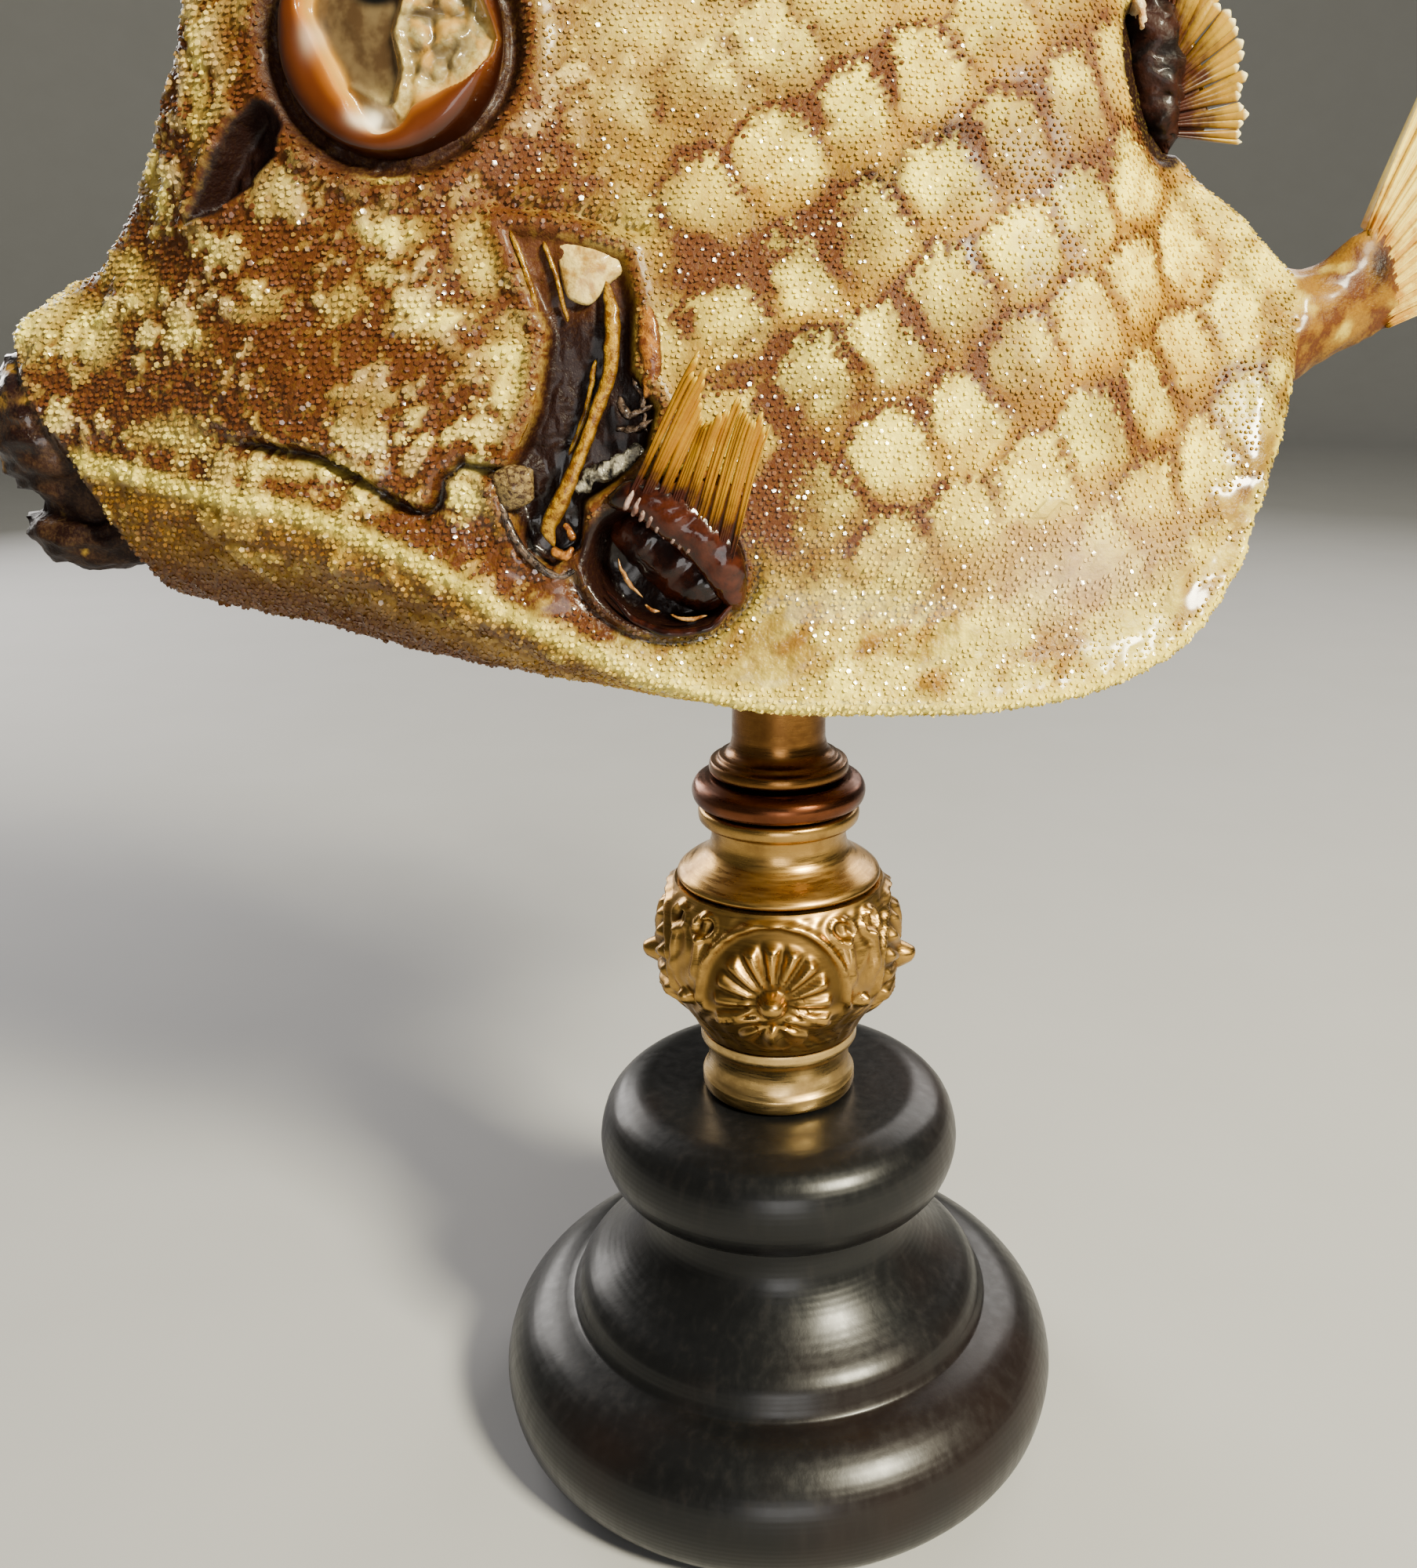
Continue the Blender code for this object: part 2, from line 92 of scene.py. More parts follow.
ROOF_RISE = ((-83, 2.5), (-73, 2.8), (-60, 3), (-40, 3.2), (-24, 3.6), (-12, 3.2), (0, 2.6), (36, 2.2),
    (54.8, 3.6))
FLANK_BULGE = (
    (-83, 0.8), (-70, 1.2), (-50, 1.5), (-30, 2.5), (-10, 3.4), (10, 3.6), (30, 2.8), (45, 1.5),
    (54.8, 0.8))
FLANK_HOLLOW = ((-83, 0), (-40, 0.2), (-20, 0.8), (0, 1.3), (30, 1.3), (45, 0.6), (54.8, 0))
BELLY_POWER = 3.2
WART_TURN = math.radians(32)
HOLLOW_AT = 0.1
HOLLOW_REACH = 0.06

# The shell ends at the mouth in a slanted edge, given by its top and bottom in the side view.
MOUTH_TOP = (-83.3, 140.6)
MOUTH_BOTTOM = (-67.2, 111.5)
UPPER_LIP = ((-77.9, 0, 130.4), (9.9, 9.2, 10.4))
LOWER_LIP = ((-75.2, 0, 120), (10.6, 8.2, 5.8))
MOUTH_SLIT = ((-87, 122.8), (-74, 121.4), (-69.5, 123.4))

# Along the tail stalk: place, half height, half width and lean in degrees.
STALK = ((52.5, 140.6, 6.3, 6.3, 0), (55.1, 140.8, 6.3, 6.3, 0), (57.6, 141.9, 5.6, 5.1, 7),
    (60.3, 143.5, 5.2, 3.9, 12), (63, 145.4, 5.6, 2.6, 16), (65.4, 147, 5.7, 1.5, 18),
    (66.6, 147.8, 4.6, 0.7, 19))

EYE_CENTRE = (-36.2, 14.6, 167.2)
EYE_RADIUS = 10.9
EYE_TURN = math.radians(9)
EYE_LIFT = math.radians(9)

# The scutes are six-sided plates on a slanting lattice, smaller toward the tail.
SCUTE_AT = (17.1, 144.2)
SCUTE_FORWARD = (-7.05, -3.94)
SCUTE_DOWN = (1.1, -10.4)
SCUTE_CROWD_X = 25.0
SCUTE_CROWDING = 1.28
SCUTE_SHIFT = 2.4

# Places on the flank, in the side view.
GILL_HOLLOW = ((-26, 151), (-21.2, 150.6), (-14.8, 148.6), (-13.6, 144.4), (-13.9, 138.4),
    (-11.6, 134.6), (-12.6, 130.8), (-15.6, 127.8), (-18.8, 125.4), (-19.4, 121.2),
    (-22.4, 119.2), (-25.3, 120.9), (-26.3, 124.4), (-27.4, 127.3), (-26, 129.6),
    (-23.4, 134.8), (-22.2, 141.5), (-24.4, 146.8))
GILL_FOLD = ((-31, 156.5), (-25.5, 153), (-20, 152.6), (-13, 150.6))
CHEEK_CREASE = ((-57, 130.6), (-53, 130.6), (-46.6, 129.8), (-42.3, 127.9), (-38.4, 125.6),
    (-35.2, 124.3), (-33.7, 125.4), (-33, 127.6), (-30.9, 129.2), (-26.6, 128.6))
NOSTRIL = ((-49.6, 162.4), (-52.4, 160.6), (-55.4, 156.4), (-58.6, 151.4), (-54.8, 152.4),
           (-51.2, 154.4), (-48.2, 157), (-46.8, 160), (-47.8, 162))
PECTORAL_HOLLOW = ((-11.3, 119.7), (7.7, 6.2), -0.16)
DORSAL_HOLLOW = ((38.6, 165.2), (3.6, 8.2), 0.3)


def smooth_profile(knots):
    """A smooth line through the knots that never swings past them, for arrays of places."""
    at, value = np.array(knots, float).T
    secant = np.diff(value) / np.diff(at)
    ahead, behind = secant[1:], secant[:-1]
    same_way = ahead * behind > 0
    slope = np.concatenate((secant[:1], np.zeros(len(ahead)), secant[-1:]))
    slope[1:-1][same_way] = (2 * ahead * behind)[same_way] / (ahead + behind)[same_way]

    def read(x):
        x = np.clip(x, at[0], at[-1])
        i = np.clip(np.searchsorted(at, x, side="right") - 1, 0, len(at) - 2)
        step = at[i + 1] - at[i]
        t = (x - at[i]) / step
        return (value[i] * (1 + 2 * t) * (1 - t) ** 2 + slope[i] * step * t * (1 - t) ** 2
                + value[i + 1] * t * t * (3 - 2 * t) + slope[i + 1] * step * t * t * (t - 1))

    return read


top_line = smooth_profile(TOP_LINE)
belly_line = smooth_profile(BELLY_LINE)
ridge_half_width = smooth_profile(RIDGE_HALF_WIDTH)
ridge_height = smooth_profile(RIDGE_HEIGHT)
roof_half_width = smooth_profile(ROOF_HALF_WIDTH)
roof_rise = smooth_profile(ROOF_RISE)
flank_bulge = smooth_profile(FLANK_BULGE)
flank_hollow = smooth_profile(FLANK_HOLLOW)


def half_sections(x, belly_steps=22, flank_steps=64, roof_steps=8):
    """Sections of one half of the shell at each x, from the belly's middle to the roof's."""
    x = np.asarray(x, float)[:, None]
    width, ridge, belly = ridge_half_width(x), ridge_height(x), belly_line(x)
    roof, rise = roof_half_width(x), roof_rise(x)
    corner = top_line(x) - rise
    s = np.sin(np.arange(belly_steps) / belly_steps * QUARTER)
    t = (np.arange(flank_steps) / flank_steps) ** 1.2
    turn = np.arange(roof_steps + 1) / roof_steps * QUARTER
    y = np.concatenate((width * s, width + (roof - width) * t + flank_bulge(x) * np.sin(math.pi * t)
        - flank_hollow(x) * np.exp(-((t - HOLLOW_AT) / HOLLOW_REACH) ** 2), roof * np.cos(turn)), axis=1)
    z = np.concatenate((belly + (ridge - belly) * s ** BELLY_POWER * 0.75, ridge + (corner - ridge) * t,
        corner + rise * np.sin(turn)), axis=1)
    return y, z


# ==== Small tools for shapes and markings, on arrays of points in millimetres ====

def step_up(low, high, value):
    """0 below low, 1 above high, and a smooth rise between."""
    t = np.clip((value - low) / (high - low), 0, 1)
    return t * t * (3 - 2 * t)


def bump(distance, reach):
    """1 at no distance, fading smoothly past the reach."""
    return np.exp(-(distance / reach) ** 2)


def scatter(*whole):
    """A steady number from 0 to 1 for each set of whole numbers."""
    mixed = np.zeros_like(np.asarray(whole[0], np.int64)) + 40503
    with np.errstate(over="ignore"):
        for prime, value in zip((374761393, 668265263, 2246822519, 3266489917), whole):
            mixed = (mixed ^ (np.asarray(value, np.int64) * prime)) & 0xFFFFFFFF
            mixed = (mixed * 2654435761) & 0xFFFFFFFF
            mixed ^= mixed >> 15
        mixed = (mixed * 2246822519) & 0xFFFFFFFF
    mixed ^= mixed >> 13
    return (mixed & 0xFFFF) / 65535.0


def cloud(points, size, seed=0):
    """Soft noise from 0 to 1 with lumps of the given size."""
    p = np.asarray(points, float) / size + 0.37 * seed
    cell = np.floor(p).astype(np.int64)
    f = p - cell
    f = f * f * (3 - 2 * f)
    total = 0.0
    for corner in product((0, 1), repeat=3):
        share = np.prod(np.abs(1 - np.array(corner) - f), axis=1)
        total = total + share * scatter(*(cell + corner).T, seed + 0 * cell[:, 0])
    return total


def billow(points, size, seed=0, layers=3):
    """Several sizes of soft noise on top of each other, from 0 to 1."""
    total, weight = 0.0, 0.0
    for layer in range(layers):
        share = 0.55 ** layer
        total = total + share * cloud(points, size / 2 ** layer, seed + 7 * layer)
        weight += share
    return total / weight


def streaked(points, turn, squeeze):
    """Points turned in the side view and squeezed, so that noise on them runs in streaks."""
    x, y, z = points.T
    c, s = math.cos(turn), math.sin(turn)
    return np.stack(((c * x + s * z) * squeeze, y, c * z - s * x), axis=1)


def to_line(x, z, knots):
    """Distance to an open line, the place along it from 0 to 1, and the side (+ is its left)."""
    knots = np.array(knots, float)
    lengths = np.hypot(*np.diff(knots, axis=0).T)
    passed = np.concatenate(((0,), np.cumsum(lengths)))
    best = np.full(x.shape, np.inf)
    along, side = np.zeros(x.shape), np.zeros(x.shape)
    for i, (a, b) in enumerate(zip(knots[:-1], knots[1:])):
        run = b - a
        t = np.clip(((x - a[0]) * run[0] + (z - a[1]) * run[1]) / (run @ run), 0, 1)
        dx, dz = x - a[0] - t * run[0], z - a[1] - t * run[1]
        distance = np.hypot(dx, dz)
        nearer = distance < best
        best = np.where(nearer, distance, best)
        along = np.where(nearer, (passed[i] + t * lengths[i]) / passed[-1], along)
        side = np.where(nearer, np.sign(run[0] * dz - run[1] * dx), side)
    return best, along, side


def inside(x, z, corners):
    """Distance into a closed outline, negative outside it."""
    corners = np.array(corners, float)
    distance, _, _ = to_line(x, z, np.vstack((corners, corners[:1])))
    crossings = np.zeros(x.shape, int)
    for a, b in zip(corners, np.roll(corners, -1, axis=0)):
        spans = (a[1] > z) != (b[1] > z)
        rise = b[1] - a[1]
        level = a[0] + (z - a[1]) * (b[0] - a[0]) / (rise if abs(rise) > 1e-9 else 1e-9)
        crossings += spans & (x < level)
    return np.where(crossings % 2 == 1, distance, -distance)


def in_oval(x, z, oval):
    """How far out a point lies in a turned oval: 0 at its middle, 1 on its edge."""
    (cx, cz), (rx, rz), turn = oval
    c, s = math.cos(turn), math.sin(turn)
    dx, dz = x - cx, z - cz
    return np.hypot((dx * c + dz * s) / rx, (-dx * s + dz * c) / rz)


def past_mouth_edge(x, z):
    """Distance in front of the shell's slanted mouth edge, negative behind it."""
    run = np.array(MOUTH_BOTTOM) - np.array(MOUTH_TOP)
    run = run / np.hypot(*run)
    return -((x - MOUTH_TOP[0]) * -run[1] + (z - MOUTH_TOP[1]) * run[0])


def eye_axes(side):
    """The eye's own axes: tailward, upward and outward, for the left (-1) or right (+1) eye."""
    turn = Matrix.Rotation(EYE_TURN * side, 3, "Z") @ Matrix.Rotation(EYE_LIFT * side, 3, "X")
    outward = turn @ Vector((0, side, 0))
    upward = turn @ Vector((0, 0, 1))
    tailward = turn @ Vector((1, 0, 0))
    return np.array(tailward), np.array(upward), np.array(outward)


def eye_place(points):
    """Each point's place on the disc of the eye on its own side, in eye radii."""
    across, up = np.zeros(len(points)), np.zeros(len(points))
    for side, _ in SIDES:
        tailward, upward, _ = eye_axes(side)
        mine = points[:, 1] * side >= 0
        apart = points[mine] - np.array(EYE_CENTRE) * (1, side, 1)
        across[mine] = apart @ tailward / EYE_RADIUS
        up[mine] = apart @ upward / EYE_RADIUS
    return across, up


def scute_place(x, z):
    """The nearest scute's offset to each point, the distance to its border and its own number."""
    u = np.where(x > SCUTE_CROWD_X, SCUTE_CROWD_X + (x - SCUTE_CROWD_X) * SCUTE_CROWDING, x)
    lattice = np.array((SCUTE_FORWARD, SCUTE_DOWN)).T
    place = np.linalg.inv(lattice) @ np.stack((u - SCUTE_AT[0], z - SCUTE_AT[1]))
    base = np.floor(place).astype(np.int64)
    nearest, second = np.full(x.shape, np.inf), np.full(x.shape, np.inf)
    across, up, number = np.zeros(x.shape), np.zeros(x.shape), np.zeros(x.shape)
    for i, j in product(range(-1, 3), repeat=2):
        row, column = base[0] + i, base[1] + j
        own, other = scatter(row, column), scatter(row + 50, column)
        cx, cz = (SCUTE_AT[n] + row * SCUTE_FORWARD[n] + column * SCUTE_DOWN[n]
                  + SCUTE_SHIFT * (share - 0.5) for n, share in ((0, own), (1, other)))
        apart = np.hypot(u - cx, z - cz)
        closer = apart < nearest
        second = np.where(closer, nearest, np.minimum(second, apart))
        across = np.where(closer, u - cx, across)
        up = np.where(closer, z - cz, up)
        number = np.where(closer, own, number)
        nearest = np.where(closer, apart, nearest)
    return across, up, second - nearest, number


def scute_strength(x, z):
    """How plainly the scutes show: strongest on the middle of the flank."""
    return (step_up(-17, -4, x) * (1 - 0.5 * step_up(40, 54, x)) * step_up(112, 133, z)
            * (1 - 0.55 * step_up(166, 182, z)))


# ==== The relief of the skin and its markings ====

# Dark and light patches of the head and shoulder: place, reach along X and Z, and strength.
BROWN_PATCHES = ((-51.8, 167.5, 1.8, 4.5, 1), (-50.5, 159, 3.2, 2.6, 0.9), (-50, 148.5, 3.2, 2.2, 0.8),
    (-44.5, 148, 3, 2, 0.8), (-40.9, 141, 4, 2.4, 0.9), (-47.5, 152, 2.4, 2.4, 0.7),
    (-32.5, 138.6, 4.5, 2.2, 1), (-22, 154, 4.5, 2.6, 1), (-17.6, 159.3, 3, 3.6, 0.8),
    (-67.9, 137, 5, 2.6, 1), (-43.8, 134.6, 8, 2.2, 0.9), (-57.5, 136, 5, 2.4, 0.8),
    (-60, 148.5, 2.4, 2.2, 0.6), (-35.5, 153.6, 8, 1.4, 0.8), (-9.5, 158, 1.6, 5, 0.7),
    (-11, 146.5, 2, 4, 0.8), (-8.5, 137, 2.2, 3, 0.7), (-53, 121.6, 9, 1.6, 0.6),
    (-36, 117.4, 9, 1.6, 0.6), (-46.5, 124.4, 4.5, 1.6, 0.6), (-28.8, 123.6, 2.4, 2.4, 0.8))
CREAM_PATCHES = ((-79, 143.6, 6, 5, 1.3), (-71.5, 141, 4, 3, 1.1), (-67, 147.2, 3.8, 2, 0.8),
    (-2, 168, 7, 6, 0.8), (-14, 162.5, 3, 2.4, 0.7), (-64.5, 145.5, 3, 3, 0.7),
    (-50.5, 143.6, 2.4, 1.8, 0.7), (-36.5, 150.2, 4, 1.5, 0.9), (-28.4, 147.4, 2.2, 3.4, 0.9),
    (-25.8, 138, 2.4, 4.6, 1), (-33, 143.6, 4.2, 1.5, 0.9), (-42, 144, 2.2, 2, 0.7),
    (-62.4, 154.8, 1.6, 4.4, 0.8), (-55.8, 163.5, 1.2, 6, 0.8), (-22.2, 167.8, 3.4, 3.4, 0.7),
    (-6.9, 167.1, 6, 4, 0.7), (-12, 172, 9, 7, 0.7), (-48, 128.2, 6, 1.2, 1),
    (-41, 125.6, 3, 1.2, 0.9), (-30.8, 126.2, 1.6, 2.6, 0.9), (-62.5, 131.4, 5.5, 2.2, 0.9),
    (-58.5, 140.8, 3.2, 2, 0.6), (-38, 146.6, 2, 1.6, 0.6))
BLACK_PATCHES = ((9.5, 155.6, 3, 1.7, 0.8), (16.3, 159.6, 2.6, 1.4, 0.7), (17.4, 148.6, 2.8, 1.3, 0.4),
    (3.5, 141, 2.6, 1.5, 0.7), (-31, 148, 1, 2.2, 0.5), (-10.4, 153.5, 1.2, 3, 0.5))


def patches(x, z, places):
    """The strongest of the soft oval patches at each point."""
    total = np.zeros(x.shape)
    for px, pz, rx, rz, strength in places:
        total = np.maximum(total, strength * np.exp(-((x - px) / rx) ** 2 - ((z - pz) / rz) ** 2))
    return total


def zones(points):
    """Where the bare places lie: lips, tail stalk, eye, gill, fin hollows and nostril."""
    x, y, z = points.T
    across, up = eye_place(points)
    mouth = past_mouth_edge(x, z)
    flank = np.abs(y) > 3.5
    return SimpleNamespace(
        lip=step_up(-1.4, -0.4, mouth + 0.9 * (cloud(points, 2.6, 3) - 0.5)), mouth=mouth,
        stalk=step_up(54.0, 55.6, x + 1.2 * (cloud(points, 3.0, 4) - 0.5)),
        eye=np.where(flank, np.hypot(across, up), 9.0), eye_across=across, eye_up=up,
        gill=np.where(flank, inside(x, z, GILL_HOLLOW), -9.0),
        nostril=np.where(flank, inside(x, z, NOSTRIL), -9.0),
        fin=np.where(np.abs(y) > 12, in_oval(x, z, PECTORAL_HOLLOW), 9.0),
        dorsal=in_oval(x, z, DORSAL_HOLLOW))


def on_throat(x, z):
    """1 below the line that runs from the snout along the cheek's crease, 0 above it."""
    line = np.interp(x, (-83, -62, -50, -37, -28), (139, 137.5, 135.5, 128, 128))
    return 1 - step_up(-2.5, 0.5, z - line)


def mottling(points):
    """The head's pale blotches from 0 to 1, in streaks that follow the forehead, cheek and throat."""
    x, _, z = points.T
    brow = step_up(-0.5, 3.5, z - np.interp(x, (-83, -66, -58, -47), (146, 146, 150, 186)))
    throat = on_throat(x, z)
    total = np.zeros(len(points))
    for weight, turn, size, seed in ((np.clip(1 - brow - throat, 0, 1), WART_TURN, 1.75, 501),
                                     (brow, math.radians(68), 1.9, 502),
                                     (throat, math.radians(-24), 1.8, 503)):
        total += weight * billow(streaked(points, turn, 0.75), size, seed, 4)
    total += 0.42 * (billow(points, 1.25, 504, 3) - 0.5)
    total += 0.5 * (cloud(points, 7.0, 505) - 0.5)
    return step_up(0.5, 0.64, total)


def varnish_pools(points):
    """Where varnish has run together over the granules, low on the flank, from 0 to 1."""
    x, y, z = points.T
    ridge = ridge_height(x)
    band = step_up(-40, -26, x) * (1 - step_up(6.0, 12.0, z - ridge)) * step_up(1.2, 2.6, z - ridge)
    place = band + bump(np.hypot((x - 34) / 11, (z - 122) / 8), 0.8)
    runs = billow(streaked(points, math.radians(40), 0.55), 2.8, 73, 3)
    return step_up(0.5, 0.58, runs - 0.25 * (1 - np.clip(place, 0, 1))) * (np.abs(y) > 6)


def relief(points, coat_depth):
    """How far the skin rises from the shell's plain form, in millimetres."""
    zone = zones(points)
    flank = np.clip((np.abs(points[:, 1]) - 3) / 4, 0, 1)
    bare = np.maximum(zone.lip, zone.stalk)
    # The coat of granules sits on the shell, and the lips and stalk are bare.
    rise = -(coat_depth * (1 - bare) + 0.15 * bare)
    raise_plates(rise, points, flank, bare, coat_depth)
    fold_cheek(rise, points, flank)
    sink_openings(rise, points, zone, flank)
    shape_edges(rise, points, zone, bare)
    return rise


def raise_plates(rise, points, flank, bare, coat_depth):
    """Scutes between sunken borders, slow waves that are livelier on the head, and varnish pools."""
    x, _, z = points.T
    _, _, border, _ = scute_place(x, z)
    rise += scute_strength(x, z) * flank * (0.1 * step_up(0.0, 3.2, border) - 0.06)
    on_head = 1 - step_up(-30, -12, x)
    rise += (0.5 + 0.6 * on_head) * (billow(points, 9.0, 11) - 0.5)
    rise += (0.16 + 0.3 * on_head) * (billow(points * (1, 1, 1.4), 2.6, 12) - 0.5)
    rise += on_head * (1 - bare) * 0.4 * (mottling(points) - 0.5)
    rise += varnish_pools(points) * (0.7 * coat_depth + 0.34 * (billow(points, 1.9, 74) - 0.5))


def fold_cheek(rise, points, flank):
    """The cheek plate's sharp fold over the throat, which is slightly hollow above its ridge."""
    x, _, z = points.T
    crease, along, over = to_line(x, z, CHEEK_CREASE)
    ends = step_up(0.0, 0.14, along)
    rise -= flank * ends * 1.25 * bump(crease, 0.55)
    rise += flank * ends * np.where(over > 0, 0.55, 0.15) * bump(crease - 1.4, 1.3)
    rise -= flank * 0.8 * bump(z - (ridge_height(x) + 4.5), 2.6) * bump(x + 45, 13)


def sink_openings(rise, points, zone, flank):
    """Eye sockets, nostrils, gill openings and the hollows that the fins stand in."""
    x, _, z = points.T

    # Round the eye: a deep crease and a swollen lid.
    ring = zone.eye * EYE_RADIUS
    rise -= 1.1 * bump(ring - 11.5, 0.75)
    rise += 0.7 * bump(ring - 13.6, 1.5)
    rise -= 2.2 * (1 - step_up(9.6, 11.0, ring))

    # The nostril is a slanting pit.
    rise -= 2.6 * step_up(-0.2, 1.5, zone.nostril) * (1 - 0.45 * step_up(-52, -46, x))
    rise += 0.45 * bump(zone.nostril + 0.6, 0.5) * (1 - step_up(-54, -49, x))

    # The gill opening, its raised edge and the fold above it.
    gill = zone.gill
    depth = 1.5 + 1.5 * (1 - step_up(126, 144, z)) - 0.8 * step_up(143, 150, z)
    folds = 0.9 * (billow(points * (1, 1, 0.25), 1.8, 22) - 0.5) * step_up(0.2, 1.4, gill)
    rise -= depth * step_up(-0.15, 0.9, gill) - folds
    rise += 0.45 * bump(gill + 0.9, 0.8)
    over_gill, at, _ = to_line(x, z, GILL_FOLD)
    rise -= flank * 0.9 * bump(over_gill, 0.6) * step_up(0, 0.2, at)

    # The pectoral hollow with its rolled lower rim.
    hollow = zone.fin
    wall = 1 - step_up(0.74, 1.02, hollow)
    rise -= wall * (4.2 + 2.2 * (billow(points * (1, 0.2, 1), 3.0, 21) - 0.5))
    below = 1 - step_up(116.5, 123.0, z)
    rise += below * (0.75 * bump((hollow - 1.07) * 6.5, 0.45) - 0.5 * bump((hollow - 1.2) * 6.5, 0.5))

    # The dorsal fin stands in an opening in the shell.
    rise -= 1.2 * (1 - step_up(0.8, 1.0, zone.dorsal)) * step_up(33.5, 36.0, x)


def shape_edges(rise, points, zone, bare):
    """The beaded belly ridge, the scalloped rear edge, the lips and the stalk."""
    x, y, z = points.T
    to_ridge = np.hypot(z - ridge_height(x), 0.8 * (np.abs(y) - ridge_half_width(x)))
    bead = 0.5 + 0.5 * np.sin(x * 2.9 + 2.0 * cloud(points, 4.0, 31))
    rise += bump(to_ridge, 1.5) * (0.22 + 0.3 * bead) * (1 - bare)
    rear = step_up(40, 46, x) * (1 - zone.stalk)
    rise += rear * (0.5 * billow(points, 3.6, 32) - 0.55)

    # Leathery lips, drawn tight into the mouth slit.
    lip = step_up(-0.2, 1.6, zone.mouth)
    slit, _, _ = to_line(x, z, MOUTH_SLIT)
    wrinkle = billow(points * (0.7, 1.0, 1.3), 2.4, 41)
    rise += lip * (1.5 * (wrinkle - 0.55) - 0.5 * np.abs(np.sin(z * 1.1 + 3 * cloud(points, 4, 42))))
    rise -= lip * 1.6 * bump(slit, 0.9)
    rise -= 0.9 * bump(zone.mouth - 0.2, 0.8)

    # Stringy skin along the stalk.
    rise += zone.stalk * 0.8 * (billow(points * (0.35, 1.0, 1.0), 2.2, 51) - 0.5)


def add_to(tints, **masks):
    """Add a mask to each tint that is named."""
    for tint, mask in masks.items():
        tints[tint] = tints[tint] + mask


def raise_to(tints, **masks):
    """Raise each tint that is named to its mask."""
    for tint, mask in masks.items():
        tints[tint] = np.maximum(tints[tint], mask)


def fade(tints, names, share):
    """Scale the tints that are named."""
    for tint in names:
        tints[tint] = tints[tint] * share


def markings(points):
    """Masks of the skin's colours at each point, the same for the skin and its granules."""
    x, y, z = points.T
    here = SimpleNamespace(points=points, x=x, y=y, z=z, zone=zones(points),
        flank=np.clip((np.abs(y) - 2) / 4, 0, 1), above_ridge=step_up(-1.5, 1.5, z - ridge_height(x)),
        on_head=1 - step_up(-24, -10, x), rough=billow(streaked(points, WART_TURN, 0.6), 4.6, 61),
        fine=billow(points, 1.7, 62), speck=cloud(points, 0.8, 63), broad=billow(points, 16.0, 64),
        drifts=billow(streaked(points, math.radians(48), 0.6), 3.4, 68, 4))
    here.plates = scute_strength(x, z) * here.flank
    tints = plate_tints(here)
    mottle_head(tints, here)
    lay_patches(tints, here)
    stain_flank(tints, here)
    pale_edges(tints, here)
    paint_shade_in_openings(tints, here)
    clear_openings(tints, here)
    tint_lips(tints, here)
    tint_stalk(tints, here)
    first = [tints[name] for name in ("cream", "brown", "black", "olive")]
    second = [tints["amber"], tints["lilac"], wetness(tints, here), 0 * x + 1]
    return [np.clip(np.stack(masks, axis=1), 0, 1) for masks in (first, second)]


def plate_tints(here):
    """The flank's plates: a frayed cream patch under a brown arch, golden below."""
    x, z, rough, fine = here.x, here.z, here.rough, here.fine
    across, up, border, number = scute_place(x + 2.4 * (rough - 0.5), z + 2.4 * (fine - 0.5))
    fray = np.sin(np.arctan2(up, across) * 23 + 6 * number + 5 * cloud(here.points, 2.2, 66))
    frayed = border + 1.1 * fray * step_up(-1, 2, up) + 2.2 * (fine - 0.5) + 1.6 * (rough - 0.5)
    lit = step_up(2, 22, x) * step_up(124, 134, z)

    bright = step_up(-14, 10, x) * (1 - 0.35 * step_up(160, 176, z)) * (0.55 + 0.9 * here.broad)
    bright *= 1 - 0.45 * step_up(150, 166, z + 0.6 * (x - 30)) * step_up(10, 26, x)
    cream = step_up(0.7, 2.8, frayed) * step_up(-5.6, 1.2, up - 0.25 * across + 3 * (rough - 0.5))
    cream *= (0.52 + 0.85 * number) * (0.3 + 0.75 * bright) * (0.75 + 0.5 * here.speck)
    cream *= 1 - 0.24 * lit
    streaks = billow(streaked(here.points, math.radians(62), 0.6), 1.3, 70)
    cream *= 0.62 + 0.76 * step_up(0.36, 0.62, streaks)

    brown = (1 - step_up(0.2, 3.0, frayed)) * (0.22 + 0.78 * step_up(-2.2, 1.6, up - 0.3 * across))
    brown *= (0.7 + 0.6 * (1 - number)) * (1.45 - 0.98 * step_up(4, 30, x))
    brown += 0.85 * (1 - step_up(0.36, 0.54, rough)) * (1 - step_up(-5, 14, x))
    brown += 0.6 * (1 - step_up(0.34, 0.5, here.broad))
    brown += 0.3 * step_up(20, 40, x) * (1 - step_up(0.5, 3.5, frayed))

    amber = 0.45 * (1 - step_up(-3.8, 0.6, up)) + 0.3 * step_up(0.5, 0.62, rough)
    amber += 0.45 * bump(np.hypot((x - 38) / 15, (z - 148) / 18), 1)
    amber += 0.3 * step_up(16, 34, x) + 0.28 * lit

    arch = (1 - step_up(0.1, 1.9, border)) * step_up(-2.6, 1.4, up)
    return {"cream": cream * here.plates, "brown": brown * here.plates, "amber": amber * here.plates,
            "black": patches(x, z, BLACK_PATCHES) * here.flank * (0.5 + 0.5 * arch)}


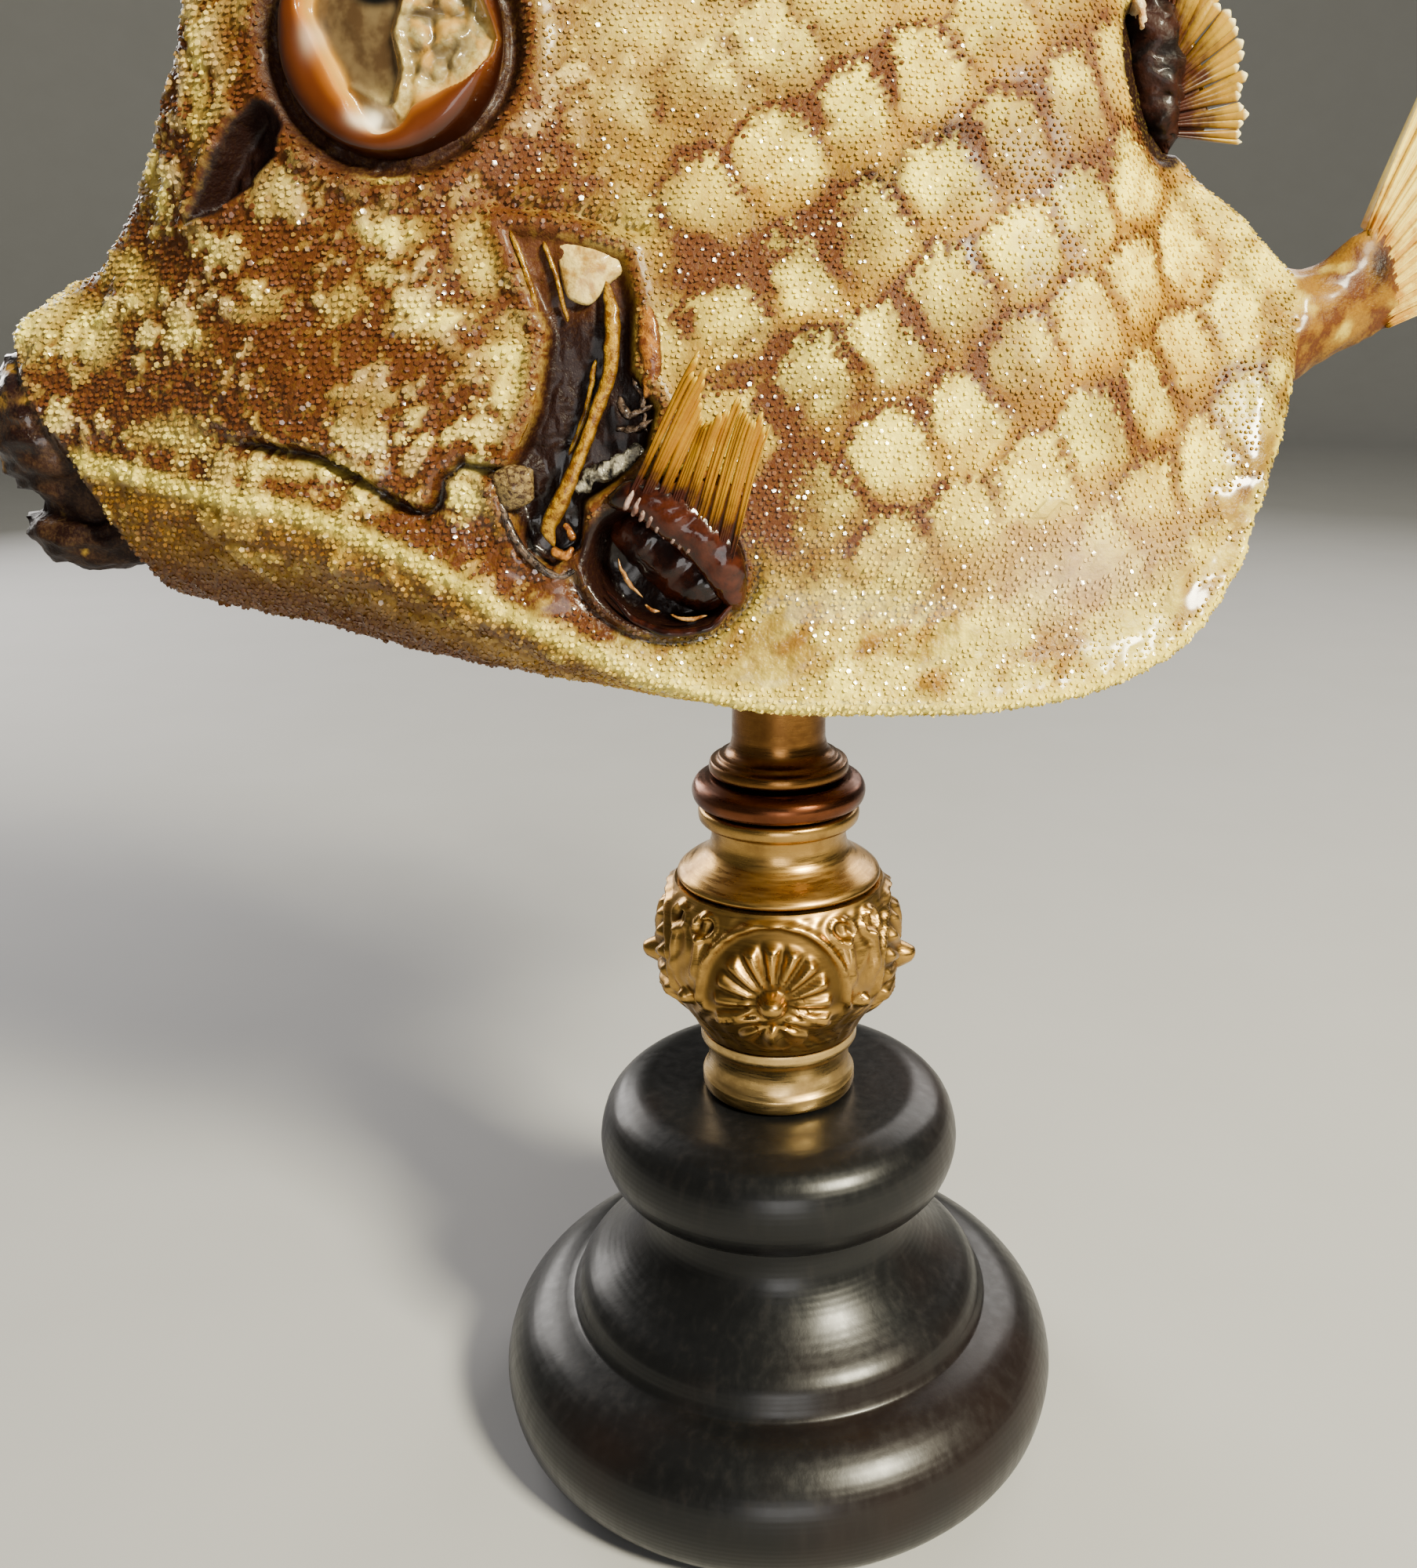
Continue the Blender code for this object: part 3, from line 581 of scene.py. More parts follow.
def mottle_head(tints, here):
    """The head, the shoulder, the roof and the belly are mottled instead."""
    points, fine, speck, on_head = here.points, here.fine, here.speck, here.on_head
    mottled = 1 - here.plates
    flecks = cloud(points, 0.9, 69)
    light, dark = step_up(0.62, 0.8, flecks), 1 - step_up(0.14, 0.34, flecks)
    pale = here.pale = np.clip(mottling(points) + 0.45 * light - 0.6 * dark, 0, 1)
    throat = on_head * on_throat(here.x, here.z) * step_up(-78, -66, here.x)
    tints["olive"] = (mottled * (0.35 + 0.65 * on_head) * pale * (0.5 + 0.5 * speck)
                      * (1 - 0.35 * throat))
    drifts = step_up(0.47, 0.62, here.rough)
    add_to(tints, cream=mottled * (1 - on_head) * 0.7 * drifts * (0.6 + 0.5 * speck))
    washed = step_up(0.52, 0.64, cloud(points, 6.0, 67))
    add_to(tints, cream=mottled * on_head * 0.36 * pale * washed * (1 - 0.5 * throat))
    add_to(tints, brown=mottled * (0.35 + 0.8 * on_head) * (1 - pale) * (0.62 + 0.8 * (1 - fine)),
        amber=mottled * 0.5 * step_up(0.5, 0.66, cloud(points, 5.0, 65)) * (1 - 0.6 * pale))
    add_to(tints, amber=0.3 * throat * (1 - 0.4 * pale), brown=0.14 * throat * (0.4 + fine))


def lay_patches(tints, here):
    """The light and dark patches of the head and shoulder push each other aside."""
    x, z, rough, fine, pale = here.x, here.z, here.rough, here.fine, here.pale
    light = patches(x + 3 * (fine - 0.5), z + 3 * (rough - 0.5), CREAM_PATCHES) * here.above_ridge
    dark = patches(x + 4 * (rough - 0.5), z + 3 * (fine - 0.5), BROWN_PATCHES) * here.above_ridge
    fade(tints, ("olive", "cream"), 1 - 0.8 * dark)
    fade(tints, ("brown",), 1 - 0.85 * light)
    raise_to(tints, olive=light * (0.5 + 0.5 * pale), cream=light * (0.35 + 0.6 * pale),
             brown=dark * (0.75 + 0.3 * fine))


def stain_flank(tints, here):
    """Reddish stain behind the fin, a lilac tint low on the rear flank that is partly a painted
    reflection, and the underside painted brown as shade.
    """
    x, z, rough, flank = here.x, here.z, here.rough, here.flank
    behind_fin = bump(np.hypot((x - 2) / 8, (z - 126) / 8), 1.0)
    under_fin = bump(np.hypot((x + 12) / 16, (z - 112.5) / 3.4), 1)
    add_to(tints, brown=flank * 0.5 * (behind_fin + 0.8 * under_fin) * (0.4 + 0.9 * rough))
    # Lilac on the flank is partly a painted reflection of light on the varnish and partly a pinkish tone.
    tints["lilac"] = flank * (0.75 * bump(np.hypot((x - 30) / 9, (z - 119) / 5.5), 1) * (0.4 + rough)
                              + 0.08 * bump(np.hypot((x - 31) / 6, (z - 163) / 6), 1) * here.fine)
    # Painted shade: the underside, away from the ridge, is painted brown.
    under = (1 - step_up(-11.0, -3.0, z - ridge_height(x))) * (1 - here.above_ridge)
    fade(tints, ("brown",), here.above_ridge + 0.55 * (1 - here.above_ridge))
    raise_to(tints, brown=0.9 * under, amber=(1 - here.above_ridge) * (0.35 + 0.5 * rough))


def pale_edges(tints, here):
    """Drifts of cream low on the flank and along the rear edge, and a pale belly ridge."""
    x, y, z, drifts = here.x, here.y, here.z, here.drifts
    low = step_up(-8, 6, x) * here.flank * (1 - step_up(112, 122, z)) * here.above_ridge
    raise_to(tints, cream=low * step_up(0.42, 0.6, drifts) * (0.6 + 0.5 * here.speck),
             amber=low * 0.8 * (1 - step_up(0.4, 0.52, drifts)),
             brown=low * 0.55 * (1 - step_up(0.34, 0.46, drifts)))
    ridge = bump(z - ridge_height(x), 1.3) * bump(np.abs(y) - ridge_half_width(x), 2.2)
    fade(tints, ("brown",), 1 - 0.8 * ridge)
    raise_to(tints, cream=ridge * 0.75, amber=0.6 * ridge * step_up(-30, 10, x))
    rear = step_up(44, 50, x) * (1 - here.zone.stalk)
    raise_to(tints, cream=rear * step_up(0.42, 0.62, drifts),
             brown=rear * 0.6 * (1 - step_up(0.36, 0.5, drifts)))


def paint_shade_in_openings(tints, here):
    """Painted shade in grooves and openings: they are painted black, with brown round them; one pale fold
    under each eye is a painted highlight.
    """
    x, z, zone, rough = here.x, here.z, here.zone, here.rough
    crease, along, _ = to_line(x, z, CHEEK_CREASE)
    ring = zone.eye * EYE_RADIUS
    here.socket = bump(np.maximum(ring - 12.2, 0), 0.7)
    # Painted shade: black in the cheek's crease and in the eye's socket.
    raise_to(tints, black=0.9 * here.flank * bump(crease, 0.5) * step_up(0, 0.15, along))
    raise_to(tints, black=0.78 * here.socket, brown=0.95 * bump(ring - 12.8, 2.4))
    raise_to(tints, brown=0.8 * bump(zone.nostril + 0.6, 1.6))
    # Painted highlight: a pale crescent along the fold under each eye, with the dark taken away there.
    fold = bump(ring - 12.7, 0.3) * bump(zone.eye_across / 0.2, 1) * (zone.eye_up < 0)
    raise_to(tints, cream=1.2 * fold)
    fade(tints, ("black", "brown"), 1 - fold)
    gill, upper = zone.gill, step_up(141, 148, z + 3 * (rough - 0.5))
    # Painted shade: black in the nostril's pit and low in the gill opening.
    raise_to(tints, black=step_up(-0.4, 0.2, zone.nostril), brown=0.9 * bump(gill + 0.6, 1.5))
    raise_to(tints, black=(0.99 - 0.75 * upper) * step_up(-0.1, 0.7, gill),
             brown=step_up(0, 1, gill) * upper * (0.3 + 0.9 * rough))
    # Painted shade: black in the pectoral hollow, in a line under its rolled lower rim, and in the dorsal
    # opening.
    hollow = zone.fin
    raise_to(tints, black=0.97 * (1 - step_up(1.04, 1.14, hollow)),
             brown=0.9 * (1 - step_up(1.1, 1.46 + 0.7 * (rough - 0.5), hollow)))
    raise_to(tints, black=0.6 * bump((hollow - 1.2) * 6.5, 0.6) * (1 - step_up(118, 124, z)))
    raise_to(tints, black=0.97 * (1 - step_up(1.0, 1.08, zone.dorsal)) * step_up(32, 34.5, x))


def clear_openings(tints, here):
    """No pale tint reaches into an opening, and each opening is painted brown as shade."""
    here.opened = np.maximum.reduce((
        step_up(-0.2, 0.5, here.zone.nostril), step_up(-0.1, 0.6, here.zone.gill),
        0.9 * here.socket, 1 - step_up(1.04, 1.14, here.zone.fin)))
    fade(tints, ("cream", "olive", "amber", "lilac"), 1 - here.opened)
    raise_to(tints, brown=here.opened)
    fade(tints, ("cream", "brown", "amber", "lilac", "olive"),
         1 - np.maximum(here.zone.lip, here.zone.stalk))


def tint_lips(tints, here):
    """Grey-brown leather with orange rims, with painted shade in the slit and at the mouth's corner."""
    x, z, lip, mouth = here.x, here.z, here.zone.lip, here.zone.mouth
    leather = billow(here.points, 2.2, 71)
    slit, _, _ = to_line(x, z, MOUTH_SLIT)
    corner = bump(np.hypot((x + 70.5) / 3.6, (z - 123.5) / 3.6), 1)
    rim = (1 - step_up(-86.4, -84.8, x)) * step_up(2.0, 4.5, np.abs(here.y))
    patchy = step_up(0.66, 0.76, billow(here.points, 3.1, 72))
    orange = np.maximum(patchy, 0.7 * rim) * (1 - corner)
    add_to(tints, lilac=lip * 0.15 * (1 - orange), brown=lip * (1 - orange), amber=lip * orange)
    fade(tints, ("black",), 1 - lip)
    add_to(tints, black=lip * (1 - 0.8 * orange) * (0.8 + 0.2 * step_up(0.42, 0.6, leather)))
    # Painted shade in the mouth slit and at the mouth's corner.
    raise_to(tints, black=lip * bump(slit, 1.4))
    raise_to(tints, black=corner * step_up(-1.5, 0.0, mouth))
    jaw = bump(np.hypot((x + 80.0) / 4.0, (z - 119.3) / 2.4), 1) * step_up(0, 1, mouth)
    add_to(tints, cream=0.5 * jaw)


def tint_stalk(tints, here):
    """Orange brown with pale spots, and black where the tail fin's root tucks in."""
    stalk = here.zone.stalk
    spots = step_up(0.56, 0.7, billow(here.points * (0.8, 1, 1), 3.0, 81))
    grime = step_up(0.4, 0.6, billow(here.points, 2.2, 82))
    add_to(tints, cream=stalk * 0.3 * spots, amber=stalk * (1 - spots),
        brown=stalk * (0.52 + 0.48 * grime) * (1 - 0.7 * spots))
    tuck = bump(np.hypot((here.x - 64.4) / 1.5, (here.z - 147.6) / 2.2), 1)
    raise_to(tints, black=stalk * tuck)


def wetness(tints, here):
    """Varnish lies thickest low on the flank and in the hollows."""
    bare = np.maximum(here.zone.stalk, here.zone.lip)
    wet = np.clip(0.3 - 0.2 * step_up(14, 26, here.x) - 0.5 * bare
                  + 0.8 * bump(here.z - ridge_height(here.x) - 6, 7) + 0.3 * tints["black"]
                  - 0.3 * here.socket + 0.6 * (here.rough - 0.5), 0, 1)
    return np.maximum(wet * (1 - 0.4 * here.opened), 0.64 * varnish_pools(here.points))


# ==== Making pieces ====

def deselect():
    """Nothing selected and out of edit mode, as before each new piece."""
    if bpy.context.object and bpy.context.object.mode != "OBJECT":
        bpy.ops.object.mode_set(mode="OBJECT")
    bpy.ops.object.select_all(action="DESELECT")


def only(piece):
    """Select one piece and make it the active one."""
    deselect()
    piece.select_set(True)
    bpy.context.view_layer.objects.active = piece
    return piece


def joined(name, pieces):
    """Several pieces joined into one, under a new name."""
    deselect()
    for piece in pieces:
        piece.select_set(True)
    bpy.context.view_layer.objects.active = pieces[0]
    if len(pieces) > 1:
        bpy.ops.object.join()
    pieces[0].name = name
    pieces[0].data.name = name
    return pieces[0]


def settle(piece):
    """Put the piece's place, turn and size into its mesh."""
    only(piece)
    bpy.ops.object.transform_apply(location=True, rotation=True, scale=True)
    return piece


def finish_with(piece, kind, **settings):
    """Add a modifier and apply it."""
    only(piece)
    modifier = piece.modifiers.new(kind.title(), kind)
    for setting, value in settings.items():
        setattr(modifier, setting, value)
    bpy.ops.object.modifier_apply(modifier=modifier.name)
    return piece


def shade_smooth(piece, angle=None):
    """Smooth shading, with edges sharper than the angle kept crisp."""
    only(piece)
    if angle is None:
        bpy.ops.object.shade_smooth()
    else:
        bpy.ops.object.shade_smooth_by_angle(angle=math.radians(angle))
    return piece


def placed(name, data):
    """A new object in the scene for a mesh, a light or a camera."""
    made = bpy.data.objects.new(name, data)
    bpy.context.scene.collection.objects.link(made)
    return made


@contextmanager
def editing(piece):
    """Edit mode with all of one piece selected, and object mode again afterwards."""
    only(piece)
    bpy.ops.object.mode_set(mode="EDIT")
    bpy.ops.mesh.select_all(action="SELECT")
    yield
    bpy.ops.object.mode_set(mode="OBJECT")


def mesh_piece(name, points, faces):
    """A piece from points in millimetres and faces as rows of point numbers."""
    faces = np.asarray(faces, np.int32)
    mesh = bpy.data.meshes.new(name)
    mesh.vertices.add(len(points))
    mesh.vertices.foreach_set("co", (np.asarray(points, np.float32) * MM).ravel())
    mesh.loops.add(faces.size)
    mesh.loops.foreach_set("vertex_index", faces.ravel())
    mesh.polygons.add(len(faces))
    mesh.polygons.foreach_set("loop_start", np.arange(0, faces.size, faces.shape[1], dtype=np.int32))
    mesh.update(calc_edges=True)
    mesh.validate()
    mesh.shade_smooth()
    return placed(name, mesh)


def read_all(items, key, width=1, kind=np.int32):
    """One value, or one row of values, for each point, edge, corner or face."""
    flat = np.empty(len(items) * width, kind)
    items.foreach_get(key, flat)
    return flat.reshape(-1, width) if width > 1 else flat


def places(piece):
    """The piece's points in millimetres."""
    return read_all(piece.data.vertices, "co", 3, np.float32).astype(float) / MM


def directions(piece):
    """The piece's outward directions at its points."""
    return read_all(piece.data.vertices, "normal", 3, np.float32).astype(float)


def move_points(piece, points):
    """Put the piece's points at new places, given in millimetres."""
    piece.data.vertices.foreach_set("co", (points * MM).astype(np.float32).ravel())
    piece.data.update()


def paint(piece, name, values):
    """Store a colour or a number at each of the piece's points."""
    values = np.asarray(values, np.float32)
    kind, key = ("FLOAT", "value") if values.ndim == 1 else ("FLOAT_COLOR", "color")
    layer = piece.data.attributes.get(name) or piece.data.attributes.new(name, kind, "POINT")
    layer.data.foreach_set(key, values.ravel())


def turns(count):
    """Angles evenly spaced round a circle."""
    return np.arange(count) / count * 2 * math.pi


def unit(rows):
    """Each row's direction, with a length of 1."""
    return rows / np.linalg.norm(rows, axis=1)[:, None]


def tube(name, rings):
    """A closed tube through rings of points, its ends drawn together in the middle."""
    rings = np.asarray(rings, float)
    rows, columns, _ = rings.shape
    points = np.vstack((rings.reshape(-1, 3), rings[0].mean(0), rings[-1].mean(0)))
    turn = np.arange(columns)
    after = (turn + 1) % columns
    start = np.arange(rows - 1)[:, None] * columns
    a, b = (start + turn).ravel(), (start + after).ravel()
    first = np.full(columns, rows * columns)
    last_row = (rows - 1) * columns
    triangles = np.vstack([np.stack(corners, axis=1) for corners in (
        (a, b, b + columns), (a, b + columns, a + columns), (after, turn, first),
        (turn + last_row, after + last_row, first + 1))])
    return mesh_piece(name, points, triangles)


def with_ends(values):
    """Values for a tube's points: those of its rings, and one more for the middle of each end."""
    return np.concatenate((values, values[:1], values[-1:]))


def face_out(piece):
    """Turn all faces of a closed piece outward."""
    with editing(piece):
        bpy.ops.mesh.normals_make_consistent(inside=False)
    return piece


def hand_over(piece, slot, *nodes, material=None):
    """Give the piece its material and body, and hide the solids it stands for; its slot is not used."""
    if material is not None:
        piece.data.materials.clear()
        piece.data.materials.append(material)
    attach(piece, "root")
    if nodes:
        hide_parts(*nodes)
    return piece


# ==== Finishes ====

def node(tree, kind, sockets=None, **settings):
    """Add a shader node; sockets take values or other nodes' outputs."""
    made = tree.nodes.new(kind)
    for setting, value in settings.items():
        setattr(made, setting, value)
    for key, value in (sockets or {}).items():
        if isinstance(value, bpy.types.NodeSocket):
            tree.links.new(value, made.inputs[key])
        else:
            made.inputs[key].default_value = value
    return made


def colours_mixed(tree, mask, below, above, way="MIX"):
    """One colour over another through a mask; a plain colour is red, green and blue."""
    below, above = (colour if isinstance(colour, bpy.types.NodeSocket) else (*colour, 1)
                    for colour in (below, above))
    return node(tree, "ShaderNodeMix", {0: mask, 6: below, 7: above}, data_type="RGBA",
                blend_type=way).outputs[2]


def sums(tree, way, a, b, clamp=False):
    """Arithmetic on two values."""
    return node(tree, "ShaderNodeMath", {0: a, 1: b}, operation=way, use_clamp=clamp).outputs[0]


def spread(tree, value, low, high, bottom=0.0, top=1.0):
    """Stretch a value's range smoothly."""
    return node(tree, "ShaderNodeMapRange", {0: value, 1: low, 2: high, 3: bottom, 4: top},
                interpolation_type="SMOOTHSTEP").outputs[0]


def tinted(tree, value, low, high, below, above, most=1.0):
    """One colour over another where a value runs from low to high."""
    return colours_mixed(tree, spread(tree, value, low, high, 0.0, most), below, above)


def dimmed(colour, share):
    """A colour scaled in brightness."""
    return [share * part for part in colour]


def grain(tree, place, scale, detail=3.0, roughness=0.55, twist=0.0):
    """Noise at so many waves per metre."""
    return node(tree, "ShaderNodeTexNoise", {"Vector": place, "Scale": scale, "Detail": detail,
                                             "Roughness": roughness, "Distortion": twist}).outputs[0]


def own_place(tree):
    """The point's own place in the object's space."""
    return node(tree, "ShaderNodeTexCoord").outputs["Object"]


def attribute(tree, name, output="Fac"):
    """A value or colour stored on the piece's points."""
    return node(tree, "ShaderNodeAttribute", attribute_name=name).outputs[output]


def new_group(name, inputs, outputs):
    """A shader node group with its sockets; gives the tree, its inputs and its output node."""
    tree = bpy.data.node_groups.new(name, "ShaderNodeTree")
    for label, kind, value in inputs:
        socket = tree.interface.new_socket(label, in_out="INPUT", socket_type=kind)
        if value is not None:
            socket.default_value = value
    for label, kind in outputs:
        tree.interface.new_socket(label, in_out="OUTPUT", socket_type=kind)
    return tree, tree.nodes.new("NodeGroupInput").outputs, tree.nodes.new("NodeGroupOutput")


def new_material(name, **sockets):
    """A material with a Principled shader; sockets are its plain values."""
    material = bpy.data.materials.new(name)
    material.use_nodes = True
    tree = material.node_tree
    tree.nodes.clear()
    shader = node(tree, "ShaderNodeBsdfPrincipled")
    for key, value in sockets.items():
        shader.inputs[key.replace("_", " ")].default_value = value
    output = node(tree, "ShaderNodeOutputMaterial", {"Surface": shader.outputs[0]})
    output.is_active_output = True
    return material, tree, shader


def plug(tree, value, shader, key):
    """Link a value into the shader."""
    tree.links.new(value, shader.inputs[key])


def bumped(tree, shader, height, distance, strength=1.0):
    """Feed the shader's normal from a height that reaches so many metres."""
    made = node(tree, "ShaderNodeBump", {"Strength": strength, "Distance": distance, "Height": height})
    plug(tree, made.outputs[0], shader, "Normal")


SKIN_TINTS = ("Golden", "Tan", "Olive", "Cream", "Brown", "Black", "Amber", "Lilac")


def dried_skin_group(chosen):
    """Colours of the varnished skin from its markings, in the tints that the settings choose."""
    name = "Dried skin"
    if name in bpy.data.node_groups:
        return bpy.data.node_groups[name]
    inputs = [(tint, "NodeSocketColor", (*getattr(chosen, tint.lower()), 1)) for tint in SKIN_TINTS]
    inputs.append(("Speckle", "NodeSocketFloat", 0.35))
    tree, given, out = new_group(name, inputs, (
        ("Color", "NodeSocketColor"), ("Wet", "NodeSocketFloat"), ("Height", "NodeSocketFloat")))
    place = own_place(tree)
    marks = node(tree, "ShaderNodeSeparateColor", {0: attribute(tree, "marks", "Color")}).outputs
    stains = node(tree, "ShaderNodeSeparateColor", {0: attribute(tree, "stains", "Color")}).outputs
    broad = grain(tree, place, 420.0, 4.0, 0.6)
    fine = grain(tree, place, 2600.0, 3.0, 0.6)
    pepper = spread(tree, fine, 0.35, 0.65, 0.92, 1.16)
    toned = tinted(tree, broad, 0.38, 0.66, given["Golden"], given["Tan"])
    pale = attribute(tree, "marks", "Alpha")
    for mask, label in ((pale, "Olive"), (stains[0], "Amber"), (marks[0], "Cream"),
                        (marks[1], "Brown"), (stains[1], "Lilac"), (marks[2], "Black")):
        grown = sums(tree, "MULTIPLY", mask, pepper, True)
        toned = colours_mixed(tree, grown, toned, given[label])
    speckled = spread(tree, fine, 0.3, 0.7, 0.0, 1.0)
    dust = sums(tree, "MULTIPLY", speckled, given["Speckle"])
    tree.links.new(colours_mixed(tree, dust, toned, given["Brown"]), out.inputs["Color"])
    tree.links.new(stains[2], out.inputs["Wet"])
    tree.links.new(sums(tree, "ADD", fine, broad), out.inputs["Height"])
    return tree


def skin_material(name, tips, speckle, depth, coat):
    """Varnished skin; with tips, each granule's crown is painted paler than its foot, a painted highlight
    on the crown and painted shade at the foot, and its tone brightens some granules with a painted glint.
    """
    material, tree, shader = new_material(
        name, Specular_IOR_Level=0.12, Coat_Roughness=coat, Coat_IOR=1.7 if tips else 1.4)
    skin = node(tree, "ShaderNodeGroup", node_tree=dried_skin_group(bpy.context.scene.trunkfish_skin))
    skin.inputs["Speckle"].default_value = speckle
    colour = skin.outputs["Color"]
    if tips:
        # Painted highlight and shade: the crown attribute makes each granule lighter at its crown and
        # darker at its foot; the tone attribute varies the granules at random and brightens some with a
        # painted glint.
        crown = attribute(tree, "crown")
        tone = attribute(tree, "tone")
        lift = sums(tree, "MULTIPLY", spread(tree, crown, 0.0, 1.0, 0.92, 1.22), tone)
        colour = colours_mixed(tree, 1.0, colour, node(
            tree, "ShaderNodeCombineColor", {0: lift, 1: lift, 2: lift}).outputs[0], "MULTIPLY")
    else:
        colour = colours_mixed(tree, 1.0, colour, (1.0, 1.0, 0.96), "MULTIPLY")
    plug(tree, colour, shader, "Base Color")
    wet = skin.outputs["Wet"]
    plug(tree, spread(tree, wet, 0.0, 1.0, 0.5, 0.26), shader, "Roughness")
    varnish = spread(tree, wet, 0.2, 0.9, 0.5 if tips else 0.04, 1.0)
    if tips:
        varnish = sums(tree, "MULTIPLY", varnish, spread(tree, tone, 0.9, 1.08, 0.45, 1.0))
    plug(tree, varnish, shader, "Coat Weight")
    pooled = sums(tree, "MULTIPLY", grain(tree, own_place(tree), 800.0, 2.0, 0.5),
                  spread(tree, wet, 0.35, 0.9, 0.0, 5.0))
    bumped(tree, shader, sums(tree, "ADD", skin.outputs["Height"], pooled), depth)
    return material


# ==== Sizes and colours ====

def colour_choice(name, description, default):
    """A colour that a user may change."""
    return bpy.props.FloatVectorProperty(name=name, description=description, default=default,
                                         subtype="COLOR", size=3, min=0.0, max=1.0)


def length_choice(name, description, default):
    """A length in metres that a user may change."""
    return bpy.props.FloatProperty(name=name, description=description, default=default,
                                   subtype="DISTANCE", unit="LENGTH", precision=5)


class TrunkfishSkin(bpy.types.PropertyGroup):
    """The skin's sizes, and the tints of its markings"""
    voxel: length_choice("Skin grain", "Size of the skin's faces", 0.00072)
    coat_depth: length_choice("Coat depth", "Height of the granules over the skin", 0.0002)
    flank_spacing: length_choice("Flank spacing", "Distance between the flank's granules", 0.00066)
    head_spacing: length_choice("Head spacing", "Distance between the head's granules", 0.00074)
    golden: colour_choice("Golden", "Ground colour of the flank", (0.33, 0.194, 0.018))
    tan: colour_choice("Tan", "Paler ground colour of the flank", (0.4, 0.26, 0.028))
    olive: colour_choice("Olive", "Pale mottling of the head", (0.47, 0.335, 0.158))
    # Cream also carries the painted highlight under each eye; brown and black also carry painted shade on
    # the underside and in creases, pits, hollows and openings; lilac is partly a painted reflection low
    # on the rear flank, and also the lips' grey-purple.
    cream: colour_choice("Cream", "Middle of each plate", (0.93, 0.78, 0.135))
    brown: colour_choice("Brown", "Net between the plates and dark mottling", (0.077, 0.0235, 0.006))
    black: colour_choice("Black", "Hollows and openings", (0.006, 0.002, 0.002))
    amber: colour_choice("Amber", "Stain under each plate", (0.33, 0.168, 0.01))
    lilac: colour_choice("Lilac", "Bloom low on the rear flank", (0.44, 0.3, 0.19))


class TrunkfishEyes(bpy.types.PropertyGroup):
    """Colours of the dried eyes"""
    membrane: colour_choice("Membrane", "Crumpled middle of the eye", (0.56, 0.45, 0.17))
    rim: colour_choice("Rim", "Swollen ring round the eye", (0.3, 0.095, 0.01))


class TrunkfishFins(bpy.types.PropertyGroup):
    """Colours of the fins' rays"""
    pectoral_ray: colour_choice("Pectoral rays", "Rays of the side fins", (0.36, 0.17, 0.002))
    upright_ray: colour_choice("Upright rays", "Dorsal and anal fins' rays", (0.5, 0.3, 0.022))
    tail_ray: colour_choice("Tail rays", "Rays of the tail fin", (0.9, 0.72, 0.18))


class TrunkfishMount(bpy.types.PropertyGroup):
    """Colours of the brass stem and the wooden foot"""
    brass: colour_choice("Turned brass", "Neck of the stem", (0.43, 0.25, 0.07))
    cast: colour_choice("Cast brass", "Ornamented ball of the stem", (0.49, 0.28, 0.075))
    collar: colour_choice("Collar", "Worn collar under the ball", (0.66, 0.44, 0.165))
    ring: colour_choice("Ring", "Dark ring over the neck", (0.15, 0.05, 0.02))
    rod: colour_choice("Rod", "Stained rod up to the fish", (0.19, 0.088, 0.024))
    lacquer: colour_choice("Lacquer", "Black of the wooden foot", (0.0035, 0.0036, 0.004))


class TRUNKFISH_OT_skin(bpy.types.Operator):
    """One skin over the shell, the lips and the tail stalk, with its scutes, folds and hollows"""
    bl_idname = "trunkfish.skin"
    bl_label = "Skin"

    def execute(self, context):
        sizes = context.scene.trunkfish_skin
        deselect()
        shell = shell_form()
        lips = [lip_form(*UPPER_LIP), lip_form(*LOWER_LIP)]
        skin = joined("skin", [shell, stalk_form(), *lips])
        voxel = sizes.voxel * 1
        finish_with(skin, "REMESH", mode="VOXEL", voxel_size=voxel)
        finish_with(skin, "SMOOTH", factor=0.5, iterations=4)
        refine_openings(skin)
        finish_with(skin, "SMOOTH", factor=0.4, iterations=2)
        points = places(skin)
        move_points(skin, points + directions(skin) * relief(points, sizes.coat_depth / MM)[:, None])
        for layer, masks in zip(("marks", "stains"), markings(points)):
            paint(skin, layer, masks)
        shade_smooth(skin)
        hand_over(skin, "skin", "head", "trunk", "tail_stalk", "upper_lip", "lower_lip",
                  material=skin_material("Varnished skin", False, 0.08, 0.00012, 0.15))
        return {"FINISHED"}


def shell_form():
    """The shell's plain form, closed at the mouth's slanted edge and at the tail."""
    x = np.concatenate((np.arange(SNOUT_X, 30, 0.9), np.arange(30, REAR_X, 0.6), (REAR_X,)))
    y, z = half_sections(x)
    y = np.concatenate((y, -y[:, -2:0:-1]), axis=1)
    z = np.concatenate((z, z[:, -2:0:-1]), axis=1)
    slope = (MOUTH_BOTTOM[0] - MOUTH_TOP[0]) / (MOUTH_BOTTOM[1] - MOUTH_TOP[1])
    edge = MOUTH_TOP[0] + (z - MOUTH_TOP[1]) * slope
    rings = np.stack((np.maximum(x[:, None] + 0 * y, edge), y, z), axis=-1)
    return tube("shell", rings)


def stalk_form():
    """The tail stalk, leaning up to the root of the tail fin."""
    around = turns(32)
    knots = np.array(STALK)
    x = np.linspace(knots[0, 0], knots[-1, 0], 26)
    middle, high, wide, lean = (smooth_profile(knots[:, (0, i)])(x) for i in (1, 2, 3, 4))
    lean = np.radians(lean)[:, None]
    up = np.sin(around) * high[:, None]
    rings = np.stack((x[:, None] - up * np.sin(lean), np.cos(around) * wide[:, None],
                      middle[:, None] + up * np.cos(lean)), axis=-1)
    return tube("stalk", rings)


def lip_form(centre, radii):
    """A lip, a flattened ball set in the mouth."""
    bpy.ops.mesh.primitive_uv_sphere_add(segments=40, ring_count=24, radius=MM,
                                         location=np.array(centre) * MM)
    lip = bpy.context.object
    lip.scale = radii
    return settle(lip)


